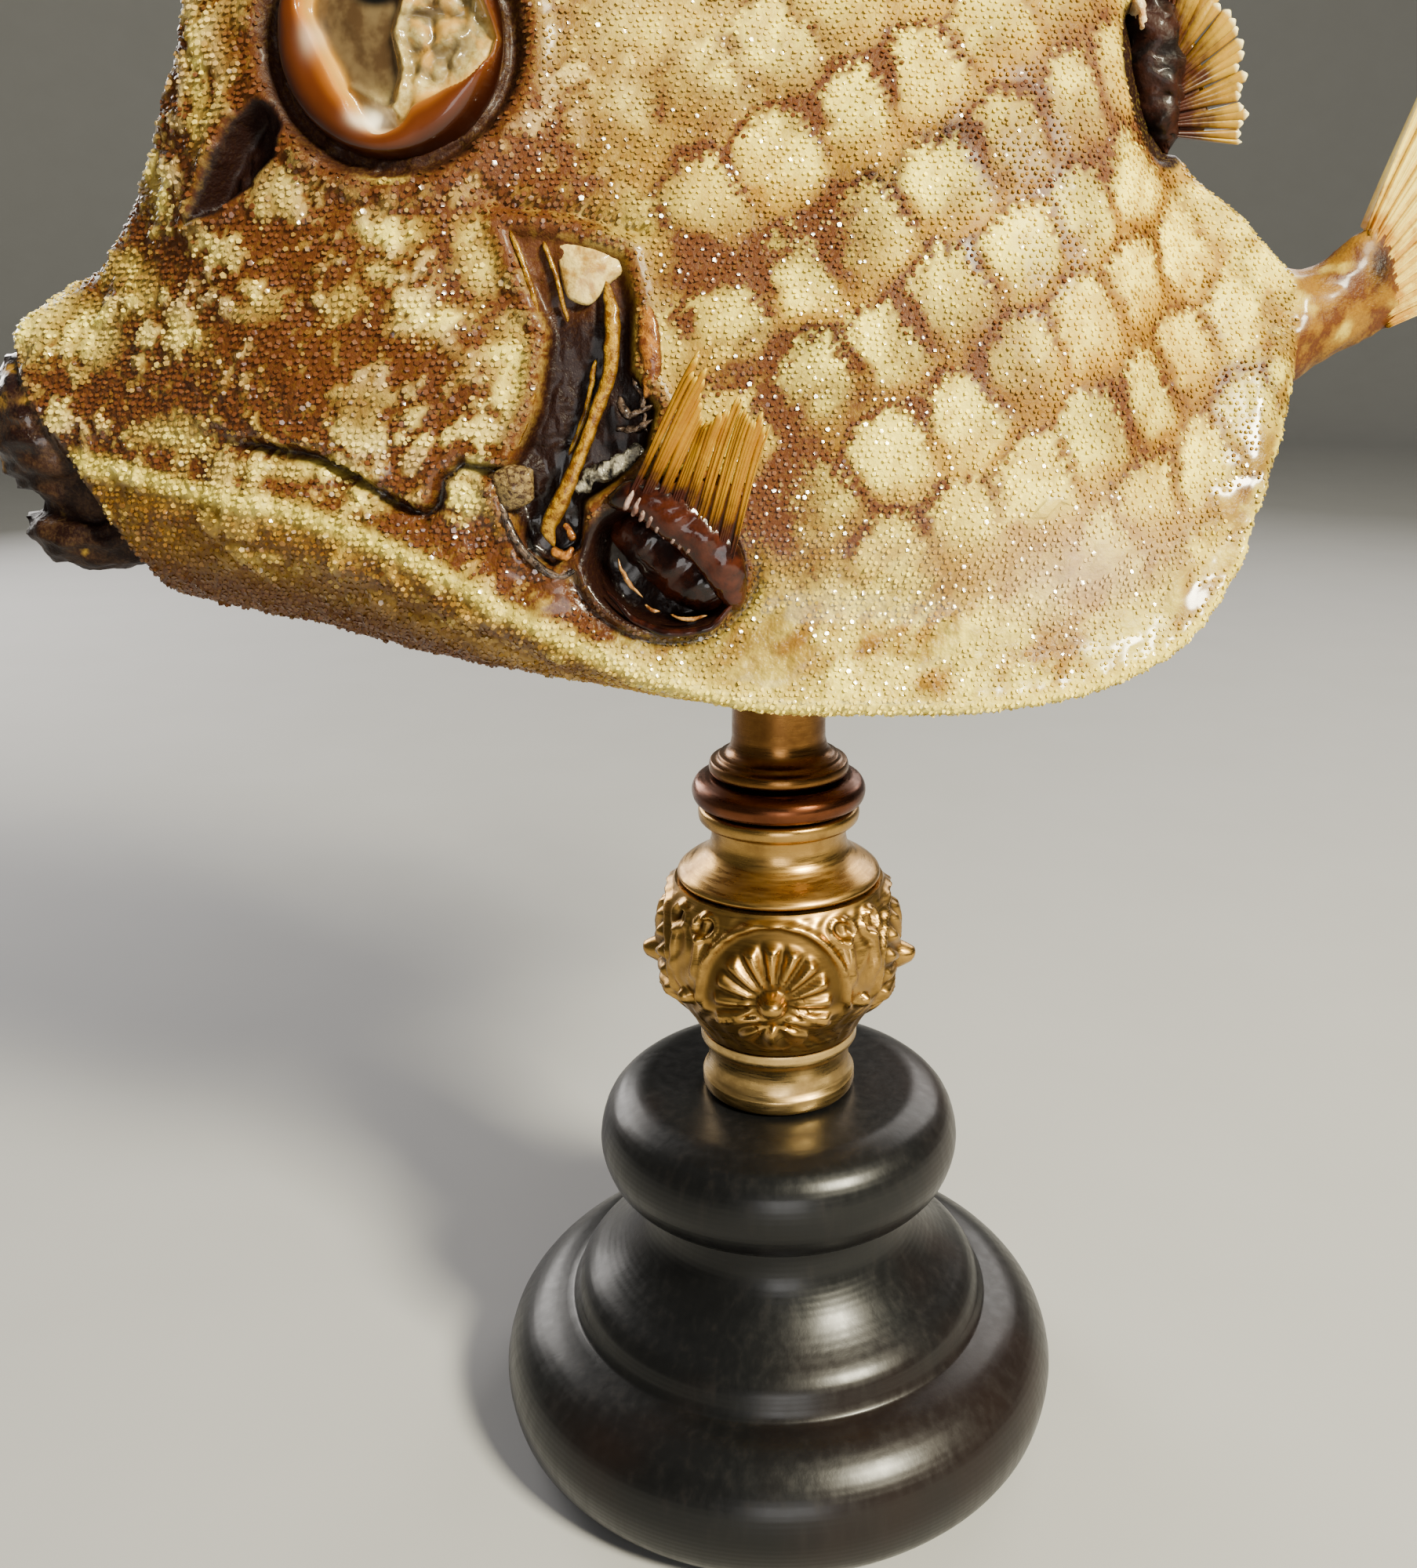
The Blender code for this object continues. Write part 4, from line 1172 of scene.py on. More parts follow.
def refine_openings(skin):
    """Halve the faces round the mouth, eyes, nostrils, gills and fin hollows."""
    points = places(skin)
    zone = zones(points)
    fine = ((np.abs(zone.gill) < 1.6) | (zone.gill > 0) | (np.abs(zone.fin - 1) < 0.22)
            | (np.abs(zone.nostril) < 1.2) | (zone.nostril > 0)
            | (np.abs(zone.eye * EYE_RADIUS - 12) < 1.3)
            | (to_line(points[:, 0], points[:, 2], CHEEK_CREASE)[0] < 1.2) & (points[:, 2] > 120))
    fine &= np.abs(points[:, 1]) > 6
    corners = read_all(skin.data.loops, "vertex_index")
    chosen = np.logical_or.reduceat(fine[corners], read_all(skin.data.polygons, "loop_start"))
    with editing(skin):
        bpy.ops.mesh.select_mode(type="FACE")
        bpy.ops.mesh.select_all(action="DESELECT")
    skin.data.polygons.foreach_set("select", chosen)
    bpy.ops.object.mode_set(mode="EDIT")
    bpy.ops.mesh.subdivide(number_cuts=1)
    bpy.ops.object.mode_set(mode="OBJECT")


# A granule is a closed five-sided bead: two rings and a crown.
GRANULE_SIDES = 5
GRANULE_RINGS = ((1, -1.3), (0.88, 0.74))
GRANULE_RADIUS = 0.39  # as a share of the spacing
PIECE_GRANULES = 10800
SQUARE_ON = 0.575  # about the cosine of 55 degrees, where the next side takes over


def granule_faces():
    """The triangles of one granule, facing outward."""
    n = GRANULE_SIDES
    faces = []
    for i in range(n):
        j = (i + 1) % n
        faces += [(i, j, n + j), (i, n + j, n + i), (n + i, n + j, 2 * n)]
    return np.array(faces + [(0, i + 1, i) for i in range(1, n - 1)])


def granule_places(skin, spacing, jitter, on_head):
    """Roots on a slanting lattice seen square on from each side, on the head or behind it."""
    tree = BVHTree.FromPolygons([v.co.copy() for v in skin.data.vertices],
                                [p.vertices[:] for p in skin.data.polygons])
    boxes = np.array([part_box("head"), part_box("trunk")]) / MM
    low, high = boxes[:, 0].min(0) - 1, boxes[:, 1].max(0) + 1
    roots, normals = [], []
    for axis in range(3):
        a, b = [i for i in range(3) if i != axis]
        u, v = np.meshgrid(np.arange(low[a], high[a], spacing),
                           np.arange(low[b], high[b], spacing * 0.866))
        u = u + (np.arange(len(u)) % 2)[:, None] * spacing / 2
        u, v = u.ravel(), v.ravel()
        wobble = np.stack((u, v, 0 * u + axis), axis=1)
        u, v = (line + spacing * jitter * (cloud(wobble, 0.4, seed) - 0.5)
                + 0.5 * (cloud(wobble, 9, seed + 2) - 0.5) for line, seed in ((u, 91), (v, 92)))
        for side, start_at in ((-1, low[axis] - 10), (1, high[axis] + 10)):
            start = np.full((len(u), 3), start_at)
            start[:, a], start[:, b] = u, v
            aim = Vector((0.0, 0.0, 0.0))
            aim[axis] = -side
            for origin in start * MM:
                spot, normal, _, _ = tree.ray_cast(Vector(origin), aim)
                if spot is not None and side * normal[axis] > SQUARE_ON:
                    roots.append(spot)
                    normals.append(normal)
    roots, normals = np.array(roots) / MM, np.array(normals)
    ahead = roots[:, 0] + 5 * cloud(roots, 4.0, 90) <= HEAD_END_X
    keep = carries_granules(roots) & (ahead == on_head)
    return thinned(roots[keep], normals[keep], spacing * (0.78 - 0.16 * jitter))


def thinned(roots, normals, apart):
    """Drop each root that stands too close to an earlier one."""
    taken, kept = {}, []
    around = list(product((-1, 0, 1), repeat=3))
    for index, (x, y, z) in enumerate(np.floor(roots / apart).astype(int).tolist()):
        near = [other for i, j, k in around for other in taken.get((x + i, y + j, z + k), ())]
        gaps = roots[near] - roots[index]
        if not np.any((gaps * gaps).sum(1) < apart * apart):
            taken.setdefault((x, y, z), []).append(index)
            kept.append(index)
    return roots[kept], normals[kept]


def carries_granules(points):
    """Whether the shell is rough at each point: not on lips, stalk, eye or openings."""
    zone = zones(points)
    crease, along, _ = to_line(points[:, 0], points[:, 2], CHEEK_CREASE)
    return ((zone.lip < 0.5) & (zone.stalk < 0.5) & (zone.eye * EYE_RADIUS > 12.5)
            & (zone.gill < -0.25) & (zone.fin > 1.07) & (zone.dorsal > 1.03)
            & (zone.nostril < -0.35) & (varnish_pools(points) < 0.5)
            & ((crease > 0.5) | (along < 0.1) | (points[:, 2] < 120)))


def skin_map(points):
    """Each point's place on the skin laid flat: along the fish, and up the girth on each side."""
    x, y, z = points.T
    width, ridge, roof = ridge_half_width(x), ridge_height(x), roof_half_width(x)
    corner = top_line(x) - roof_rise(x)
    on_belly = np.minimum(np.abs(y), width) * (z < ridge + 2) + width * (z >= ridge + 2)
    girth = on_belly + np.maximum(z - ridge, 0) + np.maximum(roof - np.abs(y), 0) * (z > corner)
    u = 0.02 + 0.96 * (x - SNOUT_X + 5) / (REAR_X - SNOUT_X + 10)
    v = 0.01 + 0.47 * np.clip(girth / HALF_GIRTH, 0, 1) + 0.51 * (y > 0)
    return np.stack((u, v), axis=1)


def granule_piece(name, roots, normals, radius, height, patch=0.0015):
    """Beads on the skin, joined into one piece, with their markings and their flat map."""
    count, n = len(roots), GRANULE_SIDES
    ahead = np.cross(np.array((0.0, 0.0, 1.0)) + 0.01 * normals, normals)
    steep = np.linalg.norm(ahead, axis=1) < 0.2
    ahead[steep] = np.cross((0.0, 1.0, 0.0), normals[steep])
    ahead = unit(ahead)
    beside = np.cross(normals, ahead)
    on_head = 1 - step_up(-24, -12, roots[:, 0])
    size = radius * (0.7 - 0.14 * on_head + (0.56 + 0.27 * on_head) * cloud(roots, 0.35, 95))
    tall = height * (0.75 + 0.5 * cloud(roots, 0.4, 96)) * (0.62 + 0.18 * on_head)
    spin = 6.3 * cloud(roots, 0.5, 97)
    each = 2 * n + 1
    points = np.empty((count, each, 3))
    flat = np.empty((count, each, 2))
    middle = skin_map(roots)
    # Each bead's flat crown leans its own way, so that some of them glint.
    lean_ahead = 0.22 + 1.1 * (cloud(roots, 0.3, 101) - 0.5)
    lean_beside = 0.26 + 1.1 * (cloud(roots, 0.3, 102) - 0.5)
    for ring, (out, rise) in enumerate(GRANULE_RINGS):
        for i, turn in enumerate(turns(n)):
            c, s = np.cos(turn + spin), np.sin(turn + spin)
            dip = ring * size * out * (c * lean_ahead + s * lean_beside)
            points[:, ring * n + i] = (
                roots + ahead * (c * size * out)[:, None] + beside * (s * size * out)[:, None]
                + normals * (tall * rise - dip)[:, None])
            flat[:, ring * n + i] = middle + patch * out * np.stack((c, s), axis=1)
    points[:, 2 * n] = roots + normals * (0.86 * tall)[:, None]
    flat[:, 2 * n] = middle
    faces = granule_faces() + (np.arange(count) * each)[:, None, None]
    piece = mesh_piece(name, points.reshape(-1, 3), faces.reshape(-1, 3))
    ends = read_all(piece.data.edges, "vertices", 2) % each
    sharp = piece.data.attributes.new("sharp_edge", "BOOLEAN", "EDGE")
    sharp.data.foreach_set("value", ((ends >= n) & (ends < 2 * n)).all(1))
    for layer, masks in zip(("marks", "stains"), markings(roots)):
        paint(piece, layer, np.repeat(masks, each, axis=0))
    # Tone differs at random from granule to granule; the brighter step on some granules is a painted
    # glint. The crown values grade each granule from foot to crown for its painted highlight.
    tone = 0.88 + 0.22 * cloud(roots, 0.3, 99) + 0.3 * (cloud(roots, 0.25, 100) > 0.74)
    paint(piece, "tone", np.repeat(tone, each))
    paint(piece, "crown", np.tile([0.0] * n + [0.72] * n + [1.0], count))
    corners = flat.reshape(-1, 2)[read_all(piece.data.loops, "vertex_index")]
    bake = piece.data.uv_layers.new(name="OFBake")
    bake.uv.foreach_set("vector", corners.astype(np.float32).ravel())
    return piece


class TRUNKFISH_OT_granules(bpy.types.Operator):
    """The shell's coat of fine beads, in rows over the flank and coarser on the head"""
    bl_idname = "trunkfish.granules"
    bl_label = "Granules"

    def execute(self, context):
        sizes = context.scene.trunkfish_skin
        skin = bpy.data.objects["skin"]
        coat = skin_material("Varnished granules", True, 0.12, 0.00005, 0.09)
        coarse = 1.0
        for part, spacing, jitter in (("flank", sizes.flank_spacing, 0.95),
                                      ("head", sizes.head_spacing, 1.0)):
            spacing *= coarse / MM
            roots, normals = granule_places(skin, spacing, jitter, part == "head")
            order = np.lexsort((roots[:, 0], roots[:, 1] > 0))
            pieces = math.ceil(len(roots) / PIECE_GRANULES)
            for number, share in enumerate(np.array_split(order, pieces), 1):
                piece = granule_piece(f"granules_{part}_{number}", roots[share], normals[share],
                                      spacing * GRANULE_RADIUS, sizes.coat_depth / MM)
                hand_over(piece, "skin", material=coat)
        return {"FINISHED"}


# ==== Eyes ====

# The amber ring's inner edge: degrees round from the tailward side, and its reach in eye radii.
RING_INNER_EDGE = ((0, 0.95), (20, 0.9), (60, 0.86), (100, 0.86), (140, 0.8), (160, 0.74), (180, 0.58),
    (208, 0.51), (235, 0.57), (250, 0.68), (266, 0.77), (282, 0.72), (297, 0.61), (320, 0.68),
    (335, 0.82), (350, 0.93), (360, 0.95))
PUPIL = ((-0.07, 0.56), (0.36, 0.34), 0)
EYE_RIDGE = ((0.16, 0.72), (0.22, 0.3), (0.14, 0.02), (0.2, -0.28), (0.1, -0.6))
EYE_FOLDS = (((0.3, -0.36), (0.42, -0.12), (0.66, -0.02)), ((0.24, 0.16), (0.48, 0.22), (0.62, 0.44)),
    ((0.62, -0.22), (0.74, 0.02), (0.8, 0.3)), ((-0.3, -0.4), (-0.06, -0.52), (0.08, -0.58)))


def eye_surface(u, v):
    """The dried eye's height over its disc in millimetres, its colour masks, and where its highlights are
    painted.
    """
    r = np.hypot(u, v)
    angle = np.degrees(np.arctan2(v, u)) % 360
    inner = smooth_profile(RING_INNER_EDGE)(angle)
    flat = np.stack((u * 10, v * 10, 0 * u), axis=1)
    soft, fine = billow(flat, 3.2, 111), billow(flat, 1.1, 112)
    share = np.clip((r - inner) / (1.0 - inner), 0, 1)
    on_ring = step_up(-0.02, 0.05, r - inner)
    ring_rise = 2.7 * np.sqrt(np.clip(1 - (1.12 * share - 0.42) ** 2 * 1.6, 0, 1)) + 0.25 * soft
    ridge, _, side = to_line(u, v, EYE_RIDGE)
    dome = 1.35 * (1 - r ** 2)
    membrane = dome + 0.9 * bump(ridge, 0.055) + 0.5 * (soft - 0.5)
    pale = step_up(-0.03, 0.03, side * ridge)
    membrane += pale * 1.5 * (np.abs(2 * billow(flat, 2.6, 113, 2) - 1) - 0.15) + 0.28 * pale
    for fold in EYE_FOLDS:
        membrane += 0.55 * bump(to_line(u, v, fold)[0], 0.045)
    valley = bump(np.hypot(u + 0.05, v + 0.62), 0.16)
    membrane -= 0.5 * valley
    height = membrane * (1 - on_ring) + ring_rise * on_ring
    height -= 1.6 * step_up(0.93, 1.0, r)
    pupil = 1 - step_up(0.8, 1.08, in_oval(u, v, PUPIL))
    crumple = step_up(0.1, 0.5, np.abs(2 * billow(flat, 2.6, 113, 2) - 1))
    near_rim = 1 - step_up(0.05, 0.3, inner - r)
    # The cream along the ridge and at the valley is a painted highlight; the cream of the crumpled side
    # is the membrane's own colour.
    cream = (1 - on_ring) * np.clip(pale * (0.12 + 0.55 * crumple + 0.5 * near_rim)
                                    + 0.9 * bump(ridge, 0.05) + 0.6 * valley
                                    - 0.5 * pale * step_up(0.1, 0.5, v), 0, 1)
    gold = 0.85 * on_ring * (1 - step_up(0.0, 0.17, share)) + (1 - on_ring) * bump(r - inner, 0.05)
    gold = np.maximum(gold * (0.5 + 0.7 * soft), pale * (1 - on_ring) * step_up(0.5, 0.7, fine) * 0.6)
    # Painted highlights: a soft one on the ring's left and a bright glint at the valley.
    sheen = np.maximum(0.2 * bump(np.hypot((u + 0.63) / 0.08, (v + 0.02) / 0.14), 1),
                       0.9 * bump(np.hypot((u + 0.13) / 0.12, (v + 0.66) / 0.08), 1))
    return height, on_ring * share, np.clip(cream, 0, 1), np.clip(gold, 0, 1), pupil, 1 - sheen


def eye_material(chosen):
    """Varnished dry eye: deep amber ring, grey and cream membrane, black pupil, and painted highlights in
    pale cream.
    """
    material, tree, shader = new_material(
        "Varnished eye", Roughness=0.3, Specular_IOR_Level=0.15, Coat_Weight=1.0,
        Coat_Roughness=0.06, Coat_IOR=1.36)
    masks = node(tree, "ShaderNodeSeparateColor", {0: attribute(tree, "eye", "Color")}).outputs
    # The eye's alpha is 1 except where a highlight is painted.
    deep, shade = attribute(tree, "depth"), attribute(tree, "eye", "Alpha")
    place = own_place(tree)
    cloudy = grain(tree, place, 420.0, 3.0, 0.5)
    fine = grain(tree, place, 1500.0, 3.0, 0.6)
    membrane = tinted(tree, cloudy, 0.35, 0.65, (0.05, 0.028, 0.012), (0.115, 0.078, 0.036))
    pale = tinted(tree, fine, 0.35, 0.7, (0.3, 0.21, 0.055), chosen.membrane)
    membrane = colours_mixed(tree, masks[0], membrane, pale)
    amber = tinted(tree, deep, 0.0, 0.4, chosen.rim, (0.08, 0.018, 0.003))
    amber = tinted(tree, deep, 0.5, 0.95, amber, (0.016, 0.003, 0.001))
    colour = tinted(tree, deep, 0.0, 0.06, membrane, amber)
    colour = colours_mixed(tree, masks[1], colour, (0.52, 0.26, 0.035))
    # Painted highlight: pale cream wherever the alpha falls below 1.
    colour = colours_mixed(tree, shade, (0.95, 0.9, 0.74), colour)
    colour = colours_mixed(tree, masks[2], colour, (0.003, 0.003, 0.003))
    plug(tree, colour, shader, "Base Color")
    bumped(tree, shader, cloudy, 0.0001, 0.5)
    return material


class TRUNKFISH_OT_eyes(bpy.types.Operator):
    """Both dried eyes: a thick amber ring round a wrinkled membrane"""
    bl_idname = "trunkfish.eyes"
    bl_label = "Eyes"

    def execute(self, context):
        material = eye_material(context.scene.trunkfish_eyes)
        around = turns(144)
        radii = np.concatenate(((0.55, 0.9, 1.0), np.linspace(1.0, 0.015, 64)[1:]))
        for side, name in SIDES:
            tailward, upward, outward = eye_axes(side)
            u, v = radii[:, None] * np.cos(around), radii[:, None] * np.sin(around)
            height, ring, *masks = eye_surface(u.ravel(), v.ravel())
            height = height.reshape(u.shape) + 0.9
            height[0], height[1] = -3.6, -3.4
            centre = np.array(EYE_CENTRE) * (1, side, 1)
            rings = (centre + EYE_RADIUS * (u[..., None] * tailward + v[..., None] * upward)
                     + height[..., None] * outward)
            eye = face_out(tube(f"dried_eye_{name}", rings))
            paint(eye, "eye", with_ends(np.stack(masks, axis=1)))
            paint(eye, "depth", with_ends(ring))
            hand_over(eye, "eye", f"eye_{name}", material=material)
        return {"FINISHED"}


# ==== The gill opening's bones and skins ====

def flank_y(x, z):
    """The shell's half width at a place in the side view."""
    x, z = np.atleast_1d(x).astype(float), np.atleast_1d(z).astype(float)
    y, heights = half_sections(x)
    return np.array([np.interp(level, row, width) for level, row, width in
                     zip(z, np.maximum.accumulate(heights, axis=1), y)])


def smooth_path(knots, steps):
    """Evenly spaced points on a smooth line through the knots."""
    knots = np.array(knots, float)
    passed = np.concatenate(((0,), np.cumsum(np.linalg.norm(np.diff(knots, axis=0), axis=1))))
    t = np.linspace(0, passed[-1], steps)
    return np.stack([smooth_profile(np.stack((passed, knots[:, i]), axis=1))(t)
                     for i in range(knots.shape[1])], axis=1)


def sections(centre, across, out, wide, thick):
    """Rings of points round a line, from how far each point lies across and outward."""
    out = np.broadcast_to(out, centre.shape)
    return centre[:, None] + across[:, None] * wide[..., None] + out[:, None] * thick[..., None]


def bar(name, centre, wide, thick, facing, sides, squareness, taper, lumps):
    """A bar along a line, with rounded ends; lumps are their height, size and seed."""
    ahead = unit(np.gradient(centre, axis=0))
    out = np.tile(facing, (len(centre), 1))
    out = unit(out - (out * ahead).sum(1)[:, None] * ahead)
    c, s = (np.sign(part) * np.abs(part) ** squareness
            for part in (np.cos(turns(sides)), np.sin(turns(sides))))
    ends = np.sqrt(np.clip(1 - np.linspace(-1, 1, len(centre)) ** taper, 0.02, 1)) / 2
    rings = sections(centre, np.cross(ahead, out), out, c * (wide * ends)[:, None],
                     s * (thick * ends)[:, None])
    height, size, seed = lumps
    flat = rings.reshape(-1, 3)
    rough = np.stack([billow(flat, size, seed + i) for i in range(3)], axis=1) - 0.5
    return face_out(tube(name, (flat + height * rough).reshape(rings.shape)))


def strip(name, knots, side, steps, sides, rough, seed):
    """A bar on the flank. Each knot: x, z, depth under the shell, width and thickness."""
    x, z, deep, wide, thick = smooth_path(knots, steps).T
    centre = np.stack((x, side * (flank_y(x, z) - deep), z), axis=1)
    made = bar(name, centre, wide, thick, (0.0, side, 0.15), sides, 0.8, 8, (rough, 0.9, seed))
    paint(made, "edge", with_ends(np.tile(np.abs(np.cos(turns(sides))) ** 0.8, steps)))
    return made


def strips(bars, side, steps, sides, rough, seed):
    """Several strips alike, each with lumps of its own."""
    return [strip("strip", knots, side, steps, sides, rough, seed + i) for i, knots in enumerate(bars)]


def patch_plate(name, corners, side, depth, thick, swell, seed):
    """A thin plate with rounded corners, lying in the opening under the shell's surface."""
    corners = np.array(corners + corners[:1], float)
    edge = smooth_path(corners, 61)[:-1]
    middle = edge.mean(0)
    rings = []
    for share, lift in ((0.3, -thick), (1.0, -thick), (1.04, -thick / 2), (1.0, 0.0),
                        (0.92, 0.12), (0.78, 0.2), (0.6, 0.24), (0.4, 0.26), (0.2, 0.27), (0.05, 0.28)):
        loop = middle + (edge - middle) * share
        y = flank_y(loop[:, 0], loop[:, 1]) - depth + lift + (swell * (1 - share) if lift > 0 else 0)
        points = np.stack((loop[:, 0], y * side, loop[:, 1]), axis=1)
        points[:, 1] += side * 0.5 * (billow(points, 1.4, seed) - 0.5) * (lift > 0.05)
        rings.append(points)
    return face_out(tube(name, rings))


GILL_STRUT = ((-16.4, 146, 0.7, 1.2, 0.9), (-15.9, 142.4, 0.4, 1.6, 1.1), (-16.1, 138.5, 0.2, 1.5, 1.1),
    (-17.6, 134, 0.2, 1.3, 1.1), (-19.4, 129.6, 0.3, 1.3, 1.1), (-21.3, 125.6, 0.4, 1.7, 1.2),
    (-22.6, 123, 0.6, 1.8, 1.2), (-22.2, 121.3, 0.9, 1.2, 1))
GILL_STREAKS = (((-25.4, 150.6, 0.5, 0.7, 0.6), (-24, 147, 0.5, 0.6, 0.6), (-23.1, 142.8, 0.7, 0.6, 0.6),
     (-23.2, 138.6, 0.7, 0.5, 0.5)),
    ((-22.3, 149.6, 0.7, 0.6, 0.6), (-21.2, 146.4, 0.8, 0.5, 0.6), (-20.2, 142.4, 1.1, 0.5, 0.5)),
    ((-23.4, 136.4, 0.3, 0.7, 0.6), (-24.6, 133, 0.3, 0.8, 0.6), (-26.6, 129.2, 0.3, 0.9, 0.6)),
    ((-17.6, 139, 1.2, 0.6, 0.6), (-18.6, 134.4, 1.3, 0.6, 0.6), (-20.4, 130, 1.4, 0.5, 0.5)))
GILL_SILVER = ((-19.6, 126.6, 1.1, 0.9, 1), (-17.8, 128.2, 0.5, 1.7, 1.3), (-15, 129.6, 0.2, 1.9, 1.3),
    (-13, 131, 0.4, 0.9, 0.9))
GILL_RUST = ((-13, 144.2, 0.3, 1, 0.8), (-12.3, 141, 0, 2.2, 1.1), (-12.2, 138, 0.1, 1.9, 1),
    (-12.9, 135.4, 0.4, 0.9, 0.8))
GILL_RIM = ((-27.4, 126.2, 0.3, 0.8, 0.9), (-26.2, 122.9, 0.1, 0.9, 1), (-24.2, 120.1, 0.1, 0.9, 1),
    (-21.6, 118.6, 0.2, 0.8, 0.9), (-19.4, 119.4, 0.4, 0.6, 0.8))
GILL_TISSUE = (
    ((-15.6, 135.4, 1.3, 0.6, 0.7), (-14.2, 133.8, 0.8, 0.8, 0.8), (-12.3, 134.6, 0.5, 0.4, 0.5)),
    ((-15.8, 132.6, 1.4, 0.5, 0.6), (-14, 132.4, 1, 0.7, 0.7), (-12.2, 133.4, 0.7, 0.4, 0.5)),
    ((-14.2, 137.4, 1.2, 0.4, 0.5), (-13.1, 135.6, 0.8, 0.6, 0.6), (-13, 132.2, 0.9, 0.4, 0.5)))
GILL_BITS = (((-22.4, 121, 0.9, 1, 0.8), (-21.2, 120.4, 0.8, 1.2, 0.9), (-20.2, 121.2, 0.9, 0.8, 0.7)),
    ((-21, 123.4, 1.4, 0.8, 0.7), (-20.2, 121.9, 1.2, 0.8, 0.7)))
GILL_CREAM = ((-21.2, 149.6), (-17.4, 149.9), (-14.6, 147.4), (-16.2, 145.9), (-18.4, 144),
              (-20.2, 144.8))
GILL_LOBE = ((-28.2, 128.2), (-26, 129.2), (-23.9, 128.6), (-23.9, 126.2), (-26.4, 124.9))


def tissue_material(name, dark, light, roughness, coat, scale=900.0):
    """Dried bone or skin, streaked between two colours."""
    material, tree, shader = new_material(
        name, Coat_Weight=coat, Coat_Roughness=0.08, Roughness=roughness, Specular_IOR_Level=0.12,
        Coat_IOR=1.35)
    place = own_place(tree)
    streaks = grain(tree, place, scale, 4.0, 0.6, 0.4)
    flecks = grain(tree, place, scale * 4, 2.0)
    colour = tinted(tree, streaks, 0.36, 0.64, dark, light)
    colour = tinted(tree, flecks, 0.55, 0.8, colour, dimmed(dark, 0.45), 0.6)
    colour = tinted(tree, attribute(tree, "edge"), 0.55, 0.95, colour, dimmed(dark, 0.45), 0.8)
    plug(tree, colour, shader, "Base Color")
    bumped(tree, shader, flecks, 0.00012)
    return material


# For each part: the material's name, its dark and light colours, roughness, coat and streaks.
GILL_FINISHES = {"strut": ("Ochre bone", (0.11, 0.04, 0.003), (0.34, 0.185, 0.01), 0.35, 0.5, 1300),
    "plate": ("Cream plate", (0.3, 0.16, 0.03), (0.66, 0.5, 0.17), 0.4, 0.6, 480),
    "silver": ("Silvery skin", (0.012, 0.009, 0.007), (0.34, 0.31, 0.23), 0.2, 1, 1100),
    "lobe": ("Speckled lobe", (0.03, 0.012, 0.005), (0.22, 0.15, 0.055), 0.35, 0.9, 1900),
    "tissue": ("Dried tissue", (0.008, 0.004, 0.003), (0.1, 0.065, 0.045), 0.25, 1, 1300),
    "rust": ("Rusty skin", (0.09, 0.024, 0.006), (0.34, 0.135, 0.02), 0.35, 0.9)}


class TRUNKFISH_OT_gills(bpy.types.Operator):
    """The bones, skins and shreds that show in both gill openings"""
    bl_idname = "trunkfish.gills"
    bl_label = "Gills"

    def execute(self, context):
        materials = {part: tissue_material(*finish) for part, finish in GILL_FINISHES.items()}
        for side, name in SIDES:
            pieces = {"strut": strips((GILL_STRUT,), side, 60, 14, 0.35, 201)
                + strips(GILL_STREAKS, side, 30, 8, 0.25, 205),
                "plate": [patch_plate("plate", GILL_CREAM, side, 0.9, 0.7, 0.5, 211)],
                "silver": strips((GILL_SILVER,), side, 70, 24, 1.3, 221),
                "lobe": [patch_plate("lobe", GILL_LOBE, side, 0.1, 1.2, 0.7, 223)],
                "tissue": strips(GILL_TISSUE, side, 30, 10, 0.9, 231)
                + strips((GILL_RIM,), side, 50, 10, 0.2, 241),
                "rust": strips((GILL_RUST,), side, 36, 12, 0.6, 251)
                + strips(GILL_BITS, side, 24, 10, 0.6, 255)}
            for part, material in materials.items():
                piece = shade_smooth(joined(f"gill_{part}_{name}", pieces[part]))
                hand_over(piece, "skin", material=material)
        return {"FINISHED"}


# ==== Fins ====

# Each fin: the ends of its root, each ray's tilt in degrees and its length, how far the web fills
# the gap after each ray, the thickness at the root, the strands of a ray and their bend in degrees.
PECTORAL = dict(root=((-14.2, 26.4, 127), (-4.6, 27, 120.2)), lean=0.17,
    tilts=(62, 62, 63, 66, 69, 71, 72, 73, 74), lengths=(15, 14.2, 11.2, 10.6, 13, 14.4, 14.8, 14.6, 14),
    webs=(0.16, 0.34, 0.7, 0.78, 0.8, 0.8, 0.8, 0.78), thick=1.1, strands=4, bend=1.5)
DORSAL = dict(root=((39.4, 0, 171.2), (40.8, 0, 160.4)), lean=0,
    tilts=(84, 79, 75, 70, 58, 44, 30, 17, 6, -4), lengths=(17, 19, 19.2, 16, 9, 9.4, 9.2, 9, 9.2, 8.2),
    webs=(0.75, 0.8, 0.5, 0.4, 0.74, 0.78, 0.8, 0.8, 0.78), thick=1.5, strands=3, bend=0)
ANAL = dict(root=((49.9, 0, 119.4), (52.2, 0, 125.4)), lean=0,
    tilts=(-36, -32, -28, -24, -20), lengths=(2, 2.5, 2.3, 2.4, 1.8),
    webs=(0.8, 0.9, 0.9, 0.8), thick=1.3, strands=3, bend=0)
TAIL = dict(root=((62.6, 0, 151.6), (66.2, 0, 141.2)), lean=0,
    tilts=(74, 68, 62, 56, 50, 44.5, 39, 34, 29, 24),
    lengths=(33, 35.4, 36.2, 36.8, 37, 36.8, 36.4, 35.4, 34.2, 32.4),
    webs=(0.8, 0.82, 0.84, 0.84, 0.84, 0.84, 0.83, 0.82, 0.8), thick=1.7, strands=5, bend=-2.2)


STRAND_SIDES = 8
WEB_COLUMNS = 14


